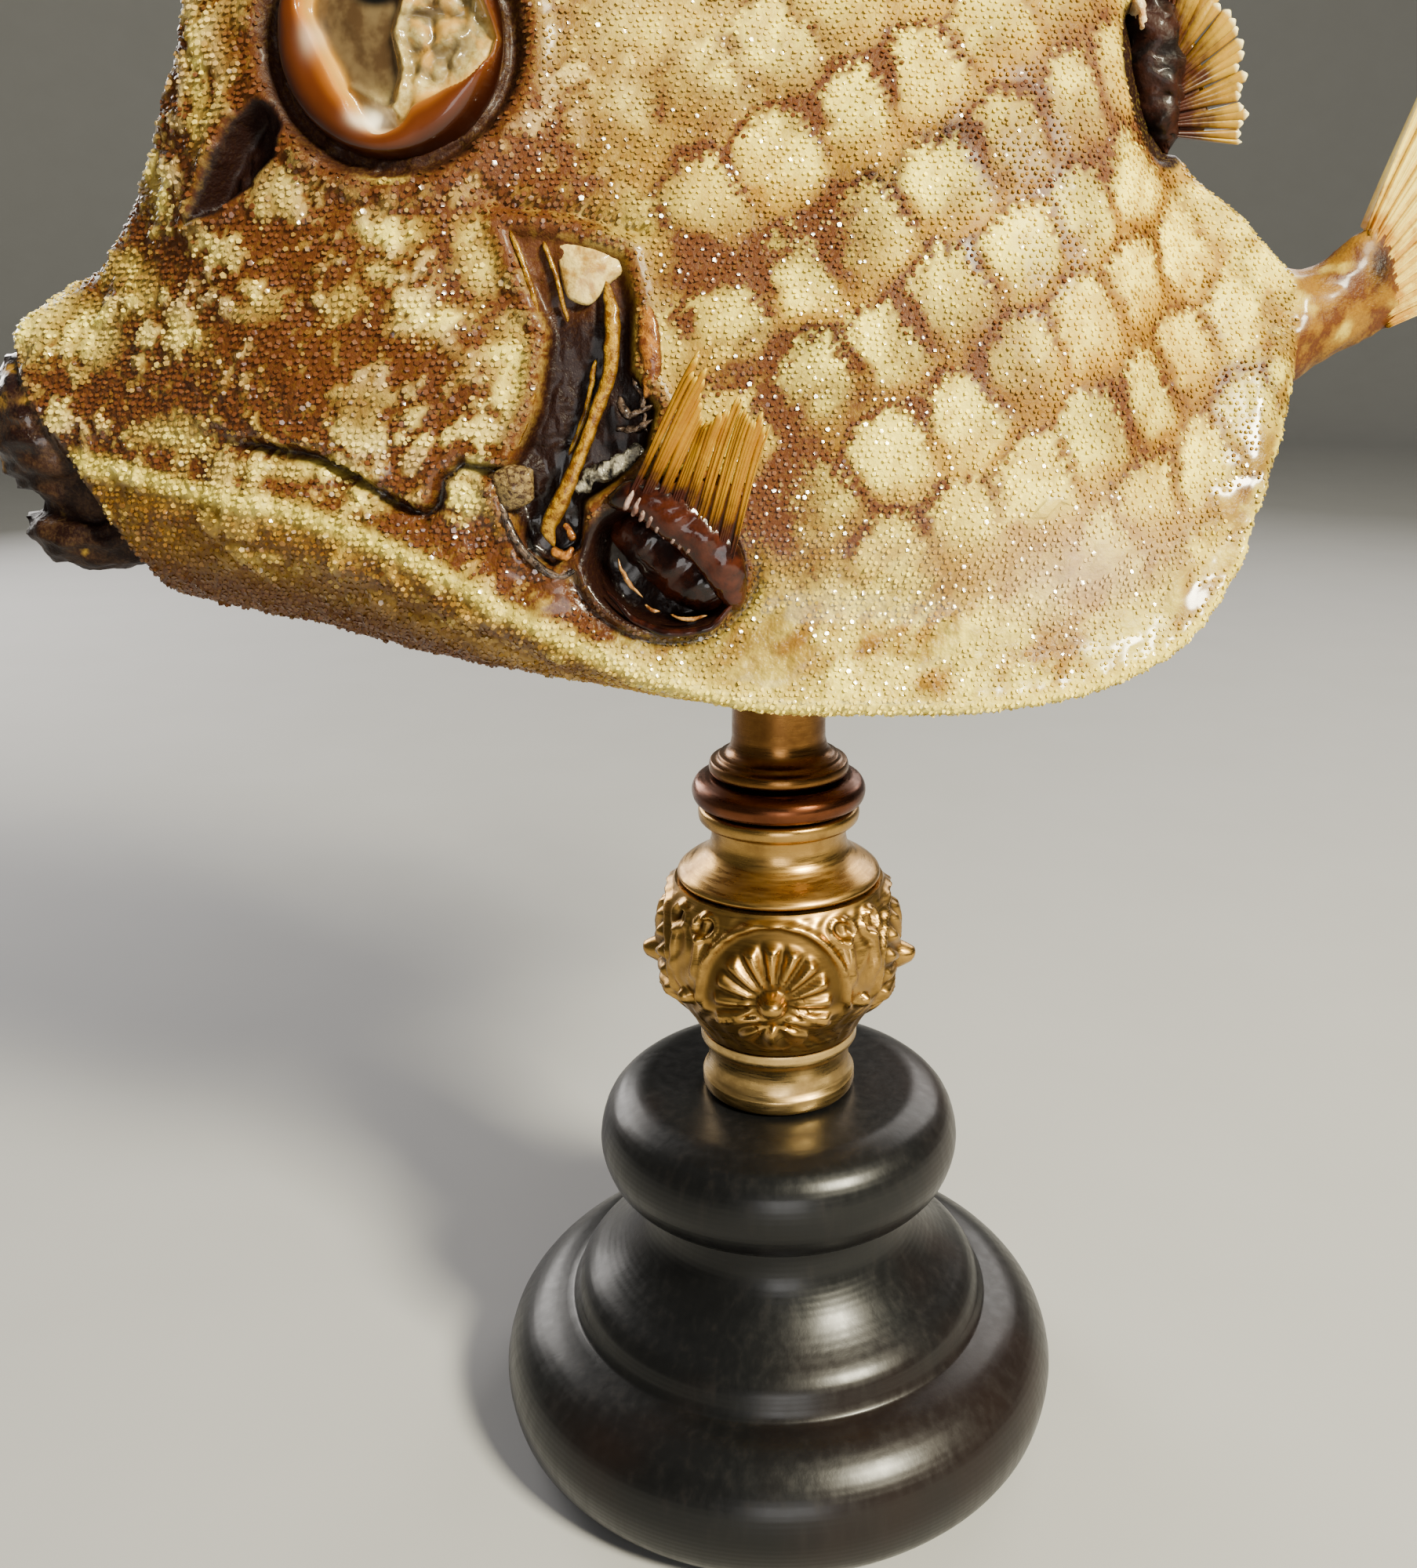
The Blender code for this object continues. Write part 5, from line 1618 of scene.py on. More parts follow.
def fin(name, root, tilts, lengths, webs, lean, thick, strands, bend, side=1, seed=0,
        ragged=0.05, rows=26, tip_thick=0.34, widest=0.42):
    """A fin: each ray splits into fine strands, with a thin torn web between the rays."""
    count = len(tilts)
    numbers = np.arange(count)

    def place(s, r):
        tilt = np.radians(np.interp(s, numbers, tilts) + bend * (r - r ** 2) * 4)
        length = np.interp(s, numbers, lengths)
        start = (np.array(root[0]) + (s / (count - 1))[..., None]
                 * (np.array(root[1]) - np.array(root[0])))
        aim = np.stack((np.cos(tilt), np.full(s.shape, lean), np.sin(tilt)), axis=-1)
        spot = start + aim * (r * length)[..., None]
        wave = cloud(np.stack((s.ravel() * 0.9, r.ravel() * 2, 0 * s.ravel()), axis=1), 1.0, seed)
        spot[..., 1] += 0.9 * (wave.reshape(s.shape) - 0.5) * r + 0.35 * np.sin(2.2 * s) * r
        return spot * (1, side, 1)

    r = np.linspace(0, 1, rows)
    half_thick = (thick * (1 - r) ** 1.3 + tip_thick * (1 - 0.3 * r)) / 2
    pieces = [fin_strand(place, i, j, strands, lengths, r, half_thick, widest, ragged, seed)
              for i in range(count) for j in range(strands)]
    return face_out(joined(name, [fin_web(place, lengths, webs, r, thick, ragged, seed), *pieces]))


def fin_strand(place, i, j, strands, lengths, r, half_thick, widest, ragged, seed):
    """One strand of a fin's ray, from its root to its ragged end."""
    last = len(lengths) - 1
    own, other = scatter(i, j, seed), scatter(i, j, seed + 1)
    offset = (j - (strands - 1) / 2) / strands
    s = np.clip(i + offset * (0.55 + 0.35 * r) + 0.05 * (own - 0.5) * r, 0, last)
    reach = r * (1 - ragged * 2.2 * other * (1 + abs(offset)))
    spot = place(s, reach)
    gap = np.linalg.norm(place(np.minimum(s + 0.1, last), reach)
                         - place(np.maximum(s - 0.1, 0), reach), axis=1) / 0.2
    wide = np.minimum(gap / strands * 0.72, widest + 0.2 * (1 - r))
    wide = np.maximum(wide, 0.1) * np.sqrt(np.clip(1.03 - r ** 50, 0.08, 1)) / 1.15
    deep = half_thick * (0.8 + 0.4 * own)
    turn = turns(STRAND_SIDES)
    across = unit(np.cross(unit(np.gradient(spot, axis=0)), ASIDE))
    strand = tube("strand", sections(spot, across, ASIDE, np.cos(turn) * wide[:, None],
                                     np.sin(turn) * deep[:, None]))
    for layer, values in (("ray", 0.55 + 0.45 * own + 0 * r), ("tip", r),
                          ("along", reach * lengths[i] / max(lengths))):
        paint(strand, layer, with_ends(np.repeat(values, STRAND_SIDES)))
    return strand


def fin_web(place, lengths, webs, r, thick, ragged, seed):
    """The thin torn web between a fin's rays."""
    last = len(lengths) - 1
    s = np.linspace(0, last, last * WEB_COLUMNS + 1)
    web = np.array(webs)[np.clip(np.floor(s).astype(int), 0, last - 1)]
    away = np.abs(s - np.round(s))
    torn = cloud(np.stack((s * 4, 0 * s, 0 * s), axis=1), 1.0, seed + 3)
    web = 0.6 * web * (1 - 0.25 * ragged * 4 * torn * step_up(0, 0.4, away))
    reach = r[:, None] * web
    spot = place(np.tile(s, (len(r), 1)), reach)
    thin = (0.2 + 0.5 * thick * (1 - r) ** 2)[:, None] * np.ones(len(s))
    thin = thin * np.sqrt(np.clip(1.02 - r ** 12, 0.02, 1))[:, None] / 2
    shift = thin[..., None] * ASIDE
    sheet = tube("web", np.concatenate((spot + shift, (spot - shift)[:, ::-1]), axis=1))
    along = reach * (np.interp(s, np.arange(last + 1), lengths) / max(lengths))
    paint(sheet, "along", with_ends(np.concatenate((along, along[:, ::-1]), axis=1).ravel()))
    for layer in ("ray", "tip"):
        paint(sheet, layer, np.zeros(len(sheet.data.vertices)))
    return sheet


def fin_material(name, foot, web, ray, tip, foot_reach, tip_from, coat):
    """A dried fin: a dark foot, a web with light soaking into it, paler rays and tips."""
    material, tree, shader = new_material(
        name, Roughness=0.36, Specular_IOR_Level=0.12, Coat_Weight=coat, Coat_Roughness=0.12,
        Coat_IOR=1.33, Subsurface_Weight=0.12, Subsurface_Radius=(0.0012, 0.0007, 0.0002),
        Subsurface_Scale=1.0)
    place = own_place(tree)
    ridge, along, tips = (attribute(tree, key) for key in ("ray", "along", "tip"))
    cloudy = grain(tree, place, 420.0, 4.0, 0.6)
    fine = grain(tree, place, 1600.0, 3.0, 0.6)
    colour = tinted(tree, fine, 0.35, 0.7, web, dimmed(web, 0.75))
    streak = sums(tree, "MULTIPLY", spread(tree, ridge, 0.45, 1.0, 0.35, 1.0),
                  spread(tree, ridge, 0.0, 0.1))
    colour = colours_mixed(tree, streak, colour, ray)
    colour = tinted(tree, cloudy, 0.42, 0.66, colour, web, 0.5)
    frayed = sums(tree, "MULTIPLY", sums(tree, "SUBTRACT", cloudy, 0.5), 0.5)
    reach = sums(tree, "ADD", along, frayed)
    colour = tinted(tree, reach, foot_reach + 0.14, foot_reach * 0.3, colour, foot)
    colour = tinted(tree, tips, tip_from, 1.0, colour, tip)
    plug(tree, colour, shader, "Base Color")
    bumped(tree, shader, fine, 0.00008, 0.6)
    return material


def flesh_bar(name, knots, side, seed, steps=44, sides=20, rough=0.7):
    """A rough bar through knots of x, y, z, width and thickness."""
    path = smooth_path(knots, steps)
    return bar(name, path[:, :3] * (1, side, 1), path[:, 3], path[:, 4], ASIDE, sides, 1.0, 6,
               (rough, 1.3, seed))


PECTORAL_FOOT = (
    (-16.6, 24.6, 125.6, 2.4, 2.2), (-13.8, 25.8, 126.6, 3.6, 2.6), (-9.4, 26.6, 124.2, 4.6, 2.9),
    (-5.6, 26.6, 120.4, 4.4, 2.8), (-4, 25.4, 115.4, 2.8, 2.2))
PECTORAL_FLESH = ((-16.6, 21.4, 122.6, 4, 2.6), (-13, 21.8, 121.6, 6, 3.4), (-9.2, 22.4, 118.6, 6.6, 4),
    (-5.4, 23.4, 115.6, 4.6, 3.2))
PECTORAL_SHREDS = (
    ((-15.9, 24.6, 120.2, 0.2, 0.3), (-14.9, 25.1, 118.2, 0.45, 0.4), (-13.4, 25, 116.6, 0.2, 0.3)),
    ((-10.6, 25.4, 114.9, 0.2, 0.3), (-9.2, 25.8, 114.5, 0.5, 0.4), (-7.2, 25.5, 114.8, 0.2, 0.2)),
    ((-13.2, 25.4, 115.9, 0.2, 0.2), (-12.4, 25.7, 115.3, 0.35, 0.3), (-11.6, 25.6, 115.2, 0.2, 0.2)))
PECTORAL_RIM = ((-16.9, 25, 117.2, 0.5, 0.5), (-14, 26, 114.4, 0.8, 0.8), (-10.4, 26.7, 113.3, 0.9, 0.9),
    (-6.8, 26.8, 113.9, 0.8, 0.8), (-4.4, 26.3, 116.4, 0.5, 0.5))
DORSAL_FOOT = ((37, 0, 174.6, 2.8, 3.6), (38, 0, 171.2, 5.2, 5.4), (38.8, 0, 166.4, 6, 5.8),
    (39.8, 0, 162, 4.6, 5), (40.9, 0, 158.4, 1.4, 2.4))
DORSAL_FLAP = ((36, 0, 174, 1.2, 4.4), (36.6, 0, 172, 2, 5.8), (37.2, 0, 169.4, 1.2, 4.8))


BEAD_COUNT = 9
# The pectoral root, its shreds and beads, the dorsal root and its flap, as in GILL_FINISHES.
FLESH_FINISHES = (("Dark fin root", (0.006, 0.0015, 0.001), (0.045, 0.009, 0.003), 0.25, 0.9, 260),
    ("Tan shreds", (0.1, 0.03, 0.006), (0.36, 0.18, 0.05), 0.3, 0.9),
    ("Ray beads", (0.12, 0.055, 0.04), (0.4, 0.27, 0.23), 0.3, 0.9),
    ("Dark dorsal root", (0.003, 0.001, 0.0008), (0.02, 0.005, 0.002), 0.5, 0.15, 300),
    ("Cream flap", (0.5, 0.26, 0.09), (0.76, 0.62, 0.36), 0.35, 0.8))


def ray_beads(side):
    """The row of beads where the pectoral fin's rays begin."""
    beads = []
    start, end = np.array(PECTORAL["root"])
    for i in range(BEAD_COUNT):
        at = start + (end - start) * (i + 0.4) / 13 + (-0.5, 0.62, -0.7)
        knots = ((*(at + (-0.4, -0.35, -0.8)), 0.4, 0.4), (*at, 0.62, 0.7),
                 (*(at + (0.6, 0.1, 1.2)), 0.35, 0.4))
        beads.append(flesh_bar("bead", knots, side, 320 + i, 14, 10, 0.3))
    return beads


class TRUNKFISH_OT_fins(bpy.types.Operator):
    """Pectoral, dorsal, anal and tail fins with their rays and fleshy roots"""
    bl_idname = "trunkfish.fins"
    bl_label = "Fins"

    def execute(self, context):
        chosen = context.scene.trunkfish_fins
        amber = fin_material("Amber fin", (0.028, 0.005, 0.002), (0.22, 0.072, 0.001),
                             chosen.pectoral_ray, (0.55, 0.35, 0.02), 0.34, 0.93, 0.35)
        straw = fin_material("Straw fin", (0.035, 0.008, 0.003), (0.3, 0.14, 0.008),
                             chosen.upright_ray, (0.9, 0.78, 0.4), 0.36, 0.92, 0.3)
        cream = fin_material("Cream tail fin", (0.4, 0.19, 0.02), (0.62, 0.42, 0.07),
                             chosen.tail_ray, (0.84, 0.66, 0.22), 0.03, 0.97, 0.4)
        flesh, shreds, beads, root, flap = (tissue_material(*finish) for finish in FLESH_FINISHES)
        for side, name in SIDES:
            blade = fin(f"pectoral_rays_{name}", side=side, seed=301, **PECTORAL)
            hand_over(blade, "fin", f"pectoral_fin_{name}", material=amber)
            for part, material, pieces in (("root", flesh, [flesh_bar("root", PECTORAL_FOOT, side, 311),
                                     flesh_bar("flesh", PECTORAL_FLESH, side, 314, rough=0.8),
                                     flesh_bar("rim", PECTORAL_RIM, side, 317, rough=0.3)]),
                    ("shreds", shreds, [flesh_bar("shred", knots, side, 318, 16, 8, 0.6)
                                        for knots in PECTORAL_SHREDS]),
                    ("beads", beads, ray_beads(side))):
                piece = shade_smooth(joined(f"pectoral_{part}_{name}", pieces))
                hand_over(piece, "fin", material=material)
        for part, knots, seed, rough, material in (
                ("root", DORSAL_FOOT, 331, 1.6, root), ("flap", DORSAL_FLAP, 335, 0.6, flap)):
            piece = shade_smooth(flesh_bar(f"dorsal_{part}", knots, 1, seed, rough=rough))
            hand_over(piece, "fin", material=material)
        for part, material, shape in (
                ("dorsal", straw, dict(DORSAL, seed=321, tip_thick=0.7, widest=0.7)),
                ("anal", straw, dict(ANAL, seed=341, rows=8)),
                ("tail", cream, dict(TAIL, seed=351, rows=40, tip_thick=0.5))):
            hand_over(fin(f"{part}_rays", **shape), "fin", f"{part}_fin", material=material)
        return {"FINISHED"}


# ==== Brass stem and turned foot ====

# Half outlines as radius and height, bottom to top; each list is one smooth run.
FOOT_RUNS = (((0, 0), (31.5, 0)),
    ((31.5, 0), (34.4, 1.6), (36.3, 4.6), (36.8, 8.2), (36.1, 11.6), (33.8, 14.9), (30.4, 17),
     (27.6, 17.6)), ((27.6, 17.6), (26.9, 18.6), (26.6, 20.2)),
    ((26.6, 20.2), (25.6, 21.6), (22.9, 23.6), (19.8, 26.6), (17.5, 30.6), (17, 34.2)),
    ((17, 34.2), (19.8, 35.4), (22.2, 37.6), (23.1, 41.2), (22.4, 44.6), (20.4, 47), (17.6, 48)),
    ((17.6, 48), (0, 48)))
COLLAR_RUNS = (((0, 48.3), (9.3, 48.3)), ((9.3, 48.3), (9.7, 48.9), (9.7, 50.2)),
    ((9.7, 50.2), (9.2, 51), (8.9, 52.6), (9.2, 54.4), (9.7, 55)),
    ((9.7, 55), (9.9, 55.4), (9.9, 56.7)), ((9.9, 56.7), (0, 56.7)))
BALL_RUNS = (((0, 57), (10, 57)), ((10, 57), (11, 59), (12.9, 61.8), (14.5, 64.6), (15.3, 67.7), (15, 71),
     (14.1, 74), (12.8, 76.8)), ((12.8, 76.8), (0, 76.8)))
NECK_RUNS = (((0, 77.1), (12.3, 77.1)), ((12.3, 77.1), (12.5, 77.5), (11.9, 78.2), (11.3, 78.6)),
    ((11.3, 78.6), (9.6, 79.7), (8.5, 81), (8.2, 82.4), (8.4, 83.9)),
    ((8.4, 83.9), (9.3, 84.2), (9.7, 84.6), (9.8, 85.3), (9.7, 85.9), (9.3, 86.2)),
    ((9.3, 86.2), (0, 86.2)))
RING_RUNS = (((0, 86.5), (9.2, 86.5)), ((9.2, 86.5), (10.2, 87), (10.5, 88.1), (10, 89.3), (8.7, 89.9)),
    ((8.7, 89.9), (0, 89.9)))
ROD_RUNS = (((0, 90.2), (7.9, 90.2)), ((7.9, 90.2), (8.4, 90.6), (8.4, 91.1), (8.2, 91.8)),
    ((8.2, 91.8), (7.4, 92), (7.2, 92.5)), ((7.2, 92.5), (6.5, 92.7), (5.9, 93.4), (5.6, 94.6)),
    ((5.6, 94.6), (5.5, 102.9)), ((5.5, 102.9), (0, 102.9)))
ROSETTE_COUNT = 4
ROSETTE_Z = 66.3
ROSETTE_TURN = math.radians(-3)
PETAL_STEP = 22.5


def outline(runs, step):
    """Points down the half outline, spaced about a step apart, with corners kept."""
    points = []
    for run in runs:
        run = np.array(run, float)
        length = np.hypot(*np.diff(run, axis=0).T).sum()
        made = smooth_path(run, max(2, int(length / step) + 1))
        points += made.tolist()[(1 if points else 0):]
    return points


def turned(name, runs, step, segments, soften=0.0):
    """A turned piece with a bevelled edge where its runs meet."""
    piece = spun(name, [(r * MM, z * MM) for r, z in outline(runs, step)], segments)
    if soften:
        finish_with(piece, "BEVEL", width=soften * MM, segments=2, limit_method="ANGLE",
                    angle_limit=math.radians(35))
    return shade_smooth(piece, 40)


def spun(name, points, segments):
    """A half outline, as radius and height in metres, spun round the upright axis."""
    deselect()
    mesh = bpy.data.meshes.new(name)
    mesh.from_pydata([(r, 0, z) for r, z in points], [(i, i + 1) for i in range(len(points) - 1)], [])
    piece = placed(name, mesh)
    with editing(piece):
        bpy.ops.mesh.spin(steps=segments, angle=2 * math.pi, center=(0, 0, 0), axis=(0, 0, 1))
        bpy.ops.mesh.select_all(action="SELECT")
        bpy.ops.mesh.remove_doubles(threshold=0.002 * MM)
        bpy.ops.mesh.normals_make_consistent(inside=False)
    return piece


def ornament(points):
    """The cast relief of the ball: arched rosettes, beads, flutes and a scrolled boss below."""
    x, y, z = points.T
    radius = np.hypot(x, y)
    turn = np.arctan2(y, x) - ROSETTE_TURN
    part = 2 * math.pi / ROSETTE_COUNT
    a = ((turn + part / 2) % part - part / 2) * radius
    half = part / 2 * radius
    b = z - ROSETTE_Z
    rho, phi = np.hypot(a, b), np.degrees(np.arctan2(b, a))
    arch = np.hypot(a / 9.4, b / 9.6)
    above = step_up(-2.4, -0.6, b)
    rise = 0.62 * bump((arch - 1) * 9.4, 0.42) * above
    field = (1 - step_up(0.9, 0.97, arch)) * above
    dent = 0.5 * field
    petal = ((phi + 90 + PETAL_STEP / 2) % PETAL_STEP - PETAL_STEP / 2) / PETAL_STEP
    blade = np.cos(np.clip(np.abs(petal) / (0.27 + 0.02 * rho), 0, 1) * QUARTER) ** 0.8
    long = step_up(1.9, 3.2, rho) * (1 - step_up(6.6, 7.7, rho))
    petals = blade * long * step_up(-32, -24, phi + 0 * a)
    petals = petals + blade * long * (phi < -148)
    rise += 0.95 * np.clip(petals, 0, 1) * (0.6 + 0.4 * step_up(2.5, 6, rho))
    bud = np.sqrt(np.clip(1 - (rho / 1.9) ** 2, 0, 1)) * np.clip(1.5 - rho / 1.9, 0, 1)
    rise += 2.5 * bud
    for sign in (-1, 1):
        leaf = np.hypot((sign * a - 4.4 + 0.35 * (b + 3.2)) / 2.6,
                        (b + 3.0 + 0.25 * sign * a - 1.1) / 0.9)
        rise += 0.85 * np.sqrt(np.clip(1 - leaf ** 2, 0, 1))
        flute = np.abs(sign * a - (half - 2.0)) / 0.75
        rise += 0.6 * np.cos(np.clip(flute, 0, 1) * QUARTER) * step_up(1.0, 3.0, b) * (
            1 - step_up(9.0, 10.2, b))
        corner = np.hypot((sign * a - 8.6 + 0.4 * (b - 8.2)) / 1.2, (b - 8.2) / 1.0)
        rise -= 0.7 * (1 - step_up(0.7, 1.1, corner))
        rise += 0.35 * bump(corner - 1.35, 0.25)
    bead = np.hypot(half - np.abs(a), b + 1.2) / 1.05
    rise += 1.2 * np.sqrt(np.clip(1 - bead ** 2, 0, 1))
    ray = np.degrees(np.arctan2(a, -(b + 2.2)))
    lobes = 0.6 + 0.4 * np.cos(np.radians(ray) * 7)
    boss = np.hypot(a / 4.2, (b + 5.6) / 2.3)
    rise += 1.5 * np.sqrt(np.clip(1 - boss ** 2, 0, 1)) * lobes
    swirl = np.sin(a * 2.4 + 2.6 * np.sin(b * 0.9)) * 0.1 * (1 - field) * (1 - step_up(9.5, 10.5, b))
    return rise - dent + swirl


def brass_group():
    """Old brass: worn gold tone, brown patina where it gathers, fine scratches."""
    name = "Old brass"
    if name in bpy.data.node_groups:
        return bpy.data.node_groups[name]
    tree, given, out = new_group(name, (("Bright", "NodeSocketColor", (0.62, 0.4, 0.15, 1)),
               ("Patina", "NodeSocketColor", (0.075, 0.035, 0.012, 1)),
               ("Gathered", "NodeSocketFloat", 0.0)),
        (("Color", "NodeSocketColor"), ("Roughness", "NodeSocketFloat"), ("Height", "NodeSocketFloat")))
    place = own_place(tree)
    stretched = node(tree, "ShaderNodeMapping", {"Vector": place, "Scale": (1, 1, 14)}).outputs[0]
    turning = grain(tree, stretched, 260.0, 5.0, 0.6)
    stains = grain(tree, place, 190.0, 5.0, 0.65)
    smudge = spread(tree, stains, 0.4, 0.72, 0.0, 0.55)
    gathered = sums(tree, "MAXIMUM", given["Gathered"], smudge, True)
    tree.links.new(colours_mixed(tree, gathered, given["Bright"], given["Patina"]), out.inputs["Color"])
    rough = sums(tree, "ADD", spread(tree, turning, 0.3, 0.7, 0.2, 0.34),
                 sums(tree, "MULTIPLY", gathered, 0.22))
    tree.links.new(rough, out.inputs["Roughness"])
    tree.links.new(turning, out.inputs["Height"])
    return tree


def brass_material(name, bright, patina, gather=None):
    """Aged brass; gather names an attribute that holds where the patina lies."""
    material, tree, shader = new_material(name, Metallic=1.0)
    brass = node(tree, "ShaderNodeGroup", node_tree=brass_group())
    brass.inputs["Bright"].default_value = (*bright, 1)
    brass.inputs["Patina"].default_value = (*patina, 1)
    if gather:
        tree.links.new(attribute(tree, gather), brass.inputs["Gathered"])
    plug(tree, brass.outputs["Color"], shader, "Base Color")
    plug(tree, brass.outputs["Roughness"], shader, "Roughness")
    bumped(tree, shader, brass.outputs["Height"], 0.00003, 0.5)
    return material


class TRUNKFISH_OT_stem(bpy.types.Operator):
    """The brass stem: collar, cast ball, necks and rod, with its dark ring"""
    bl_idname = "trunkfish.stem"
    bl_label = "Brass stem"

    def execute(self, context):
        chosen = context.scene.trunkfish_mount
        brass = brass_material("Turned brass", chosen.brass, (0.07, 0.03, 0.01))
        worn = brass_material("Worn collar", chosen.collar, (0.1, 0.05, 0.018))
        cast = brass_material("Cast brass", chosen.cast, (0.014, 0.006, 0.002), "recess")
        dark = brass_material("Dark ring", chosen.ring, (0.03, 0.01, 0.005))
        rod = brass_material("Stained rod", chosen.rod, (0.05, 0.018, 0.006))
        for name, node_name, runs, slot, material in (
                ("collar", "stem_collar", COLLAR_RUNS, "brass", worn),
                ("neck", "stem_neck", NECK_RUNS, "brass", brass),
                ("ring", "stem_ring", RING_RUNS, "ring", dark),
                ("rod", "stem_rod", ROD_RUNS, "brass", rod)):
            piece = turned(name, runs, 0.35, 128, 0.12)
            hand_over(piece, slot, node_name, material=material)
        ball = turned("ball", BALL_RUNS, 0.27, 320)
        points = places(ball)
        z = points[:, 2]
        (end_radius, bottom), top = BALL_RUNS[0][1], BALL_RUNS[-1][0][1]
        on_side = (np.hypot(points[:, 0], points[:, 1]) > end_radius - 0.01) & (z < top - 0.1)
        rise = (ornament(points) * on_side * step_up(bottom, bottom + 1.4, z)
                * (1 - step_up(top - 0.8, top, z)))
        radial = points * (1, 1, 0)
        radial /= np.maximum(np.linalg.norm(radial, axis=1), 1e-9)[:, None]
        move_points(ball, points + radial * rise[:, None])
        paint(ball, "recess", np.clip(0.75 * (0.22 - rise) / 0.7, 0, 1) * on_side)
        shade_smooth(ball, 60)
        hand_over(ball, "brass", "stem_ball", material=cast)
        return {"FINISHED"}


class TRUNKFISH_OT_foot(bpy.types.Operator):
    """The turned wooden foot, lacquered satin black"""
    bl_idname = "trunkfish.foot"
    bl_label = "Wooden foot"

    def execute(self, context):
        foot = turned("turned_foot", FOOT_RUNS, 1.0, 160, 0.25)
        material, tree, shader = new_material(
            "Black lacquered wood", Specular_IOR_Level=0.2, Coat_Weight=0.2, Coat_Roughness=0.24)
        place = own_place(tree)
        stretched = node(tree, "ShaderNodeMapping", {"Vector": place, "Scale": (1, 1, 0.12)}).outputs[0]
        fibres = grain(tree, stretched, 700.0, 5.0, 0.6)
        cloudy = grain(tree, place, 28.0, 3.0)
        parts = node(tree, "ShaderNodeSeparateXYZ", {0: place}).outputs
        rings = sums(tree, "SINE", sums(tree, "MULTIPLY", parts[2], 9000.0), 0.0)
        lacquer = context.scene.trunkfish_mount.lacquer
        colour = tinted(tree, cloudy, 0.42, 0.68, lacquer, (0.0085, 0.005, 0.0042))
        colour = tinted(tree, fibres, 0.5, 0.8, colour, (0.014, 0.011, 0.01), 0.35)
        nicks = grain(tree, place, 330.0, 2.0)
        colour = tinted(tree, nicks, 0.79, 0.83, colour, (0.3, 0.2, 0.12))
        plug(tree, colour, shader, "Base Color")
        plug(tree, spread(tree, fibres, 0.3, 0.7, 0.3, 0.42), shader, "Roughness")
        height = sums(tree, "ADD", fibres, sums(tree, "MULTIPLY", rings, 0.12))
        bumped(tree, shader, height, 0.00006, 0.5)
        hand_over(foot, "wood", "foot", material=material)
        return {"FINISHED"}


# ==== Stage ====

FLOOR_FLAT = 1.3
FLOOR_BEND = 0.6
FLOOR_WALL = 1.6
CAMERA_AT = (0, -0.17, 0.147)
CAMERA_TILT = math.radians(71)
CAMERA_LENS = 34.2
CAMERA_SHIFT = -0.04475
SENSOR_WIDTH = 36.0
LIGHT_AIM = (0, 0, 0.13)
# Each light's name, place, size, power and colour.
LIGHTS = (("key", (0.4, -0.41, 0.52), 0.14, 20, (1, 0.935, 0.7)),
    ("far side", (-0.5, 0.55, 0.35), 0.4, 5, (1, 0.96, 0.92)),
    ("fill", (0.05, -0.8, 0.12), 0.35, 2.4, (1, 0.98, 0.96)),
    ("rim", (0.35, 0.55, 0.45), 0.4, 2.8, (1, 0.95, 0.9)))


def soft_light(name, at, size, power, colour):
    """A square studio light pointed at the middle of the fish."""
    data = bpy.data.lights.new(name, "AREA")
    data.shape, data.size, data.energy, data.color = "SQUARE", size, power, colour
    lamp = placed(name, data)
    lamp.location = at
    lamp.rotation_euler = (Vector(LIGHT_AIM) - Vector(at)).to_track_quat("-Z", "Y").to_euler()
    lamp.visible_camera = False


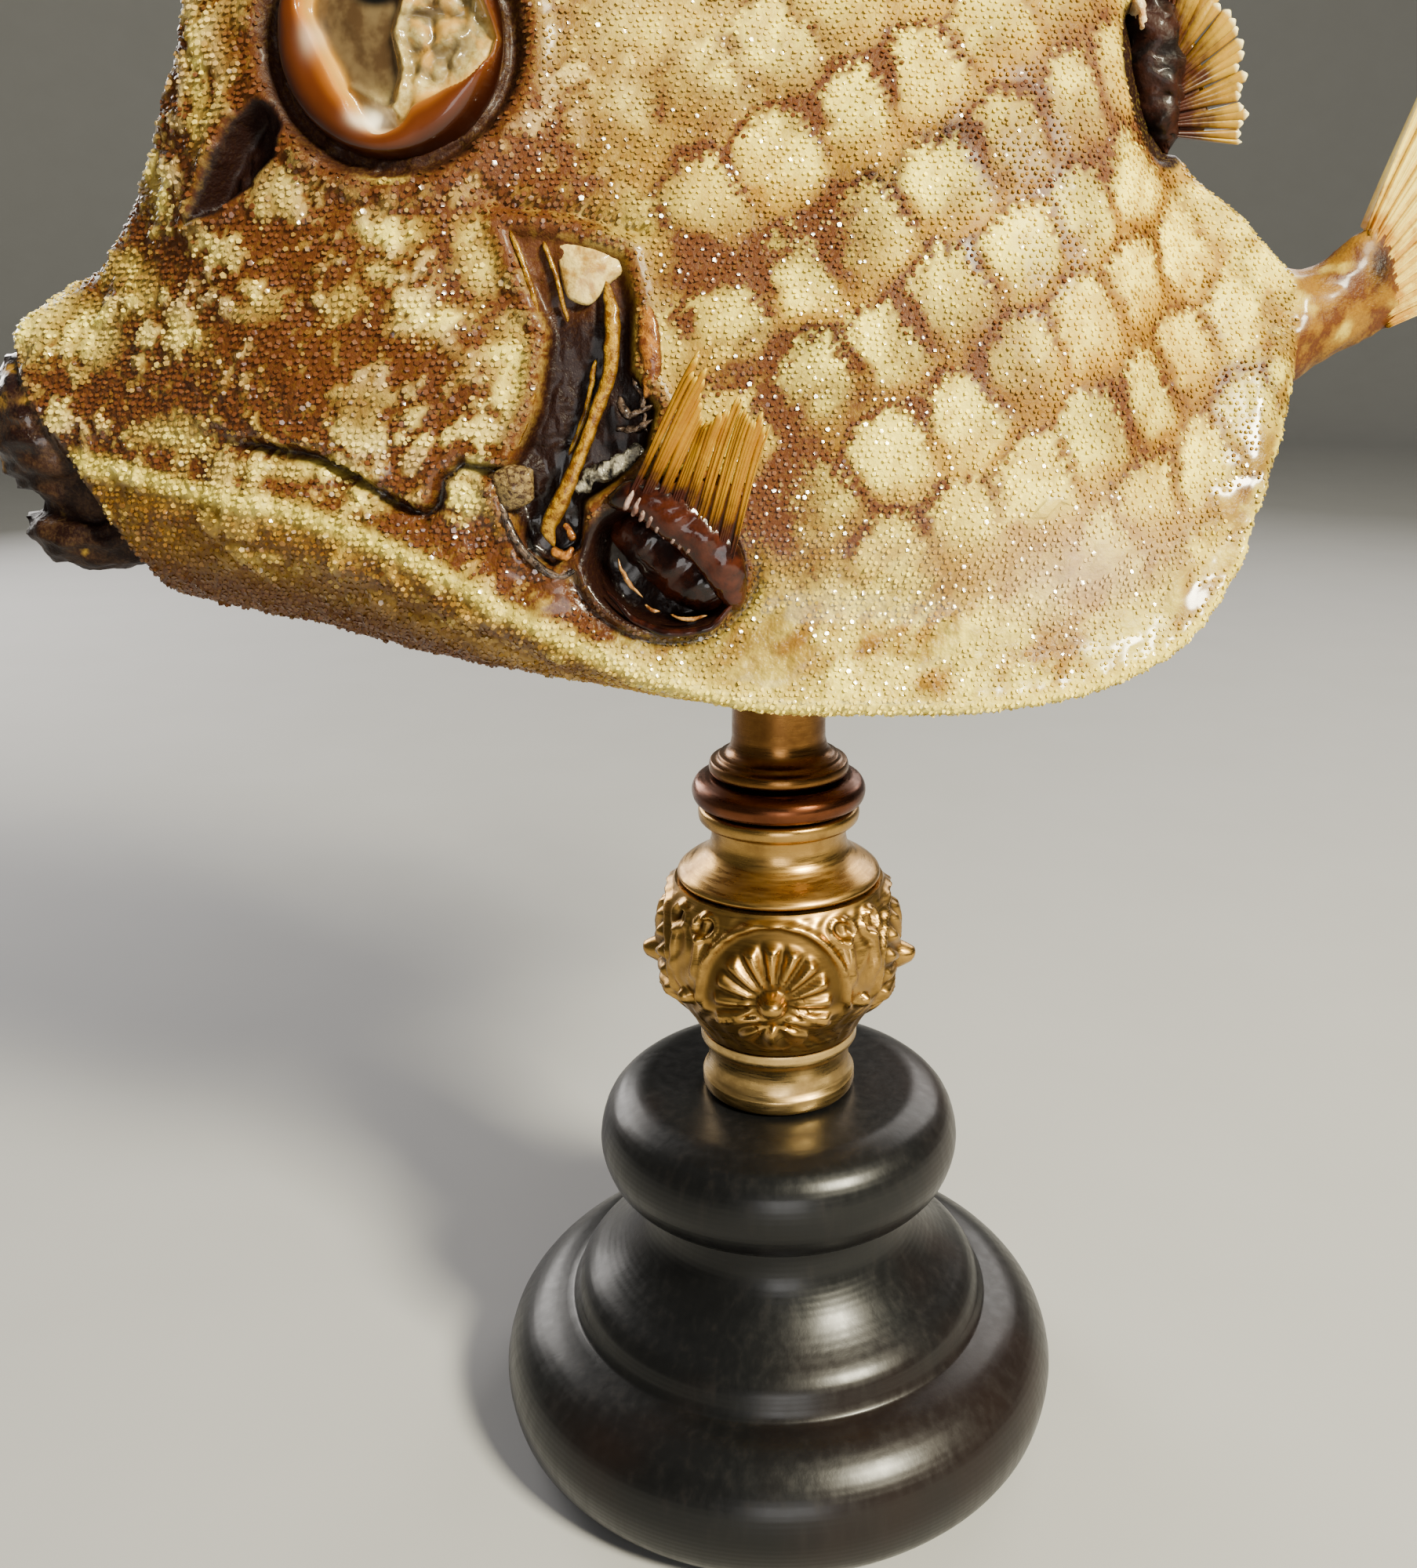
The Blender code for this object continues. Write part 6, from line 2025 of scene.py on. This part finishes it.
class TRUNKFISH_OT_stage(bpy.types.Operator):
    """A plain pale floor that curves up behind, soft lights and the camera"""
    bl_idname = "trunkfish.stage"
    bl_label = "Stage"

    def execute(self, context):
        bend = [(FLOOR_FLAT + FLOOR_BEND * math.sin(turn), FLOOR_BEND * (1 - math.cos(turn)))
                for turn in np.linspace(0, QUARTER, 24)]
        profile = [(0.0, 0.0), (0.6, 0.0), *bend, (FLOOR_FLAT + FLOOR_BEND, FLOOR_WALL)]
        floor = spun("floor", profile, 128)
        with editing(floor):
            bpy.ops.mesh.flip_normals()
        shade_smooth(floor)
        material, tree, shader = new_material("Pale floor", Roughness=0.75)
        tone = grain(tree, own_place(tree), 30.0, 4.0)
        colour = colours_mixed(tree, tone, (0.34, 0.34, 0.34), (0.37, 0.37, 0.375))
        plug(tree, colour, shader, "Base Color")
        floor.data.materials.append(material)
        world = bpy.data.worlds.new("Studio")
        world.use_nodes = True
        sky = world.node_tree.nodes["Background"].inputs
        sky["Color"].default_value = (0.8, 0.83, 0.88, 1)
        sky["Strength"].default_value = 0.16
        context.scene.world = world
        for light in LIGHTS:
            soft_light(*light)
        data = bpy.data.cameras.new("camera")
        data.lens, data.sensor_width, data.shift_x, data.clip_start = (
            CAMERA_LENS, SENSOR_WIDTH, CAMERA_SHIFT, 0.01)
        camera = placed("camera", data)
        camera.location = CAMERA_AT
        camera.rotation_euler = (CAMERA_TILT, 0, 0)
        context.scene.camera = camera
        return {"FINISHED"}


# ==== The sidebar and the order of work ====

STEPS = ("skin", "granules", "eyes", "gills", "fins", "stem", "foot", "stage")
SETTINGS = {"trunkfish_skin": TrunkfishSkin, "trunkfish_eyes": TrunkfishEyes,
            "trunkfish_fins": TrunkfishFins, "trunkfish_mount": TrunkfishMount}


class TRUNKFISH_PT_panel(bpy.types.Panel):
    """The trunkfish's sizes and the steps that build it"""
    bl_label = "Mounted trunkfish"
    bl_idname = "TRUNKFISH_PT_panel"
    bl_space_type = "VIEW_3D"
    bl_region_type = "UI"
    bl_category = "Trunkfish"

    def draw(self, context):
        column = self.layout.column()
        for key, group in SETTINGS.items():
            for setting in group.__annotations__:
                column.prop(getattr(context.scene, key), setting)
        for step in STEPS:
            column.operator(f"trunkfish.{step}")


CLASSES = (*SETTINGS.values(), TRUNKFISH_OT_skin, TRUNKFISH_OT_granules, TRUNKFISH_OT_eyes,
           TRUNKFISH_OT_gills, TRUNKFISH_OT_fins, TRUNKFISH_OT_stem, TRUNKFISH_OT_foot,
           TRUNKFISH_OT_stage, TRUNKFISH_PT_panel)


def register():
    for entry in CLASSES:
        bpy.utils.register_class(entry)
    for key, group in SETTINGS.items():
        setattr(bpy.types.Scene, key, bpy.props.PointerProperty(type=group))


def unregister():
    for key in SETTINGS:
        delattr(bpy.types.Scene, key)
    for entry in reversed(CLASSES):
        bpy.utils.unregister_class(entry)


def main():
    register()
    for step in STEPS:
        getattr(bpy.ops.trunkfish, step)()


if __name__ == "__main__":
    main()
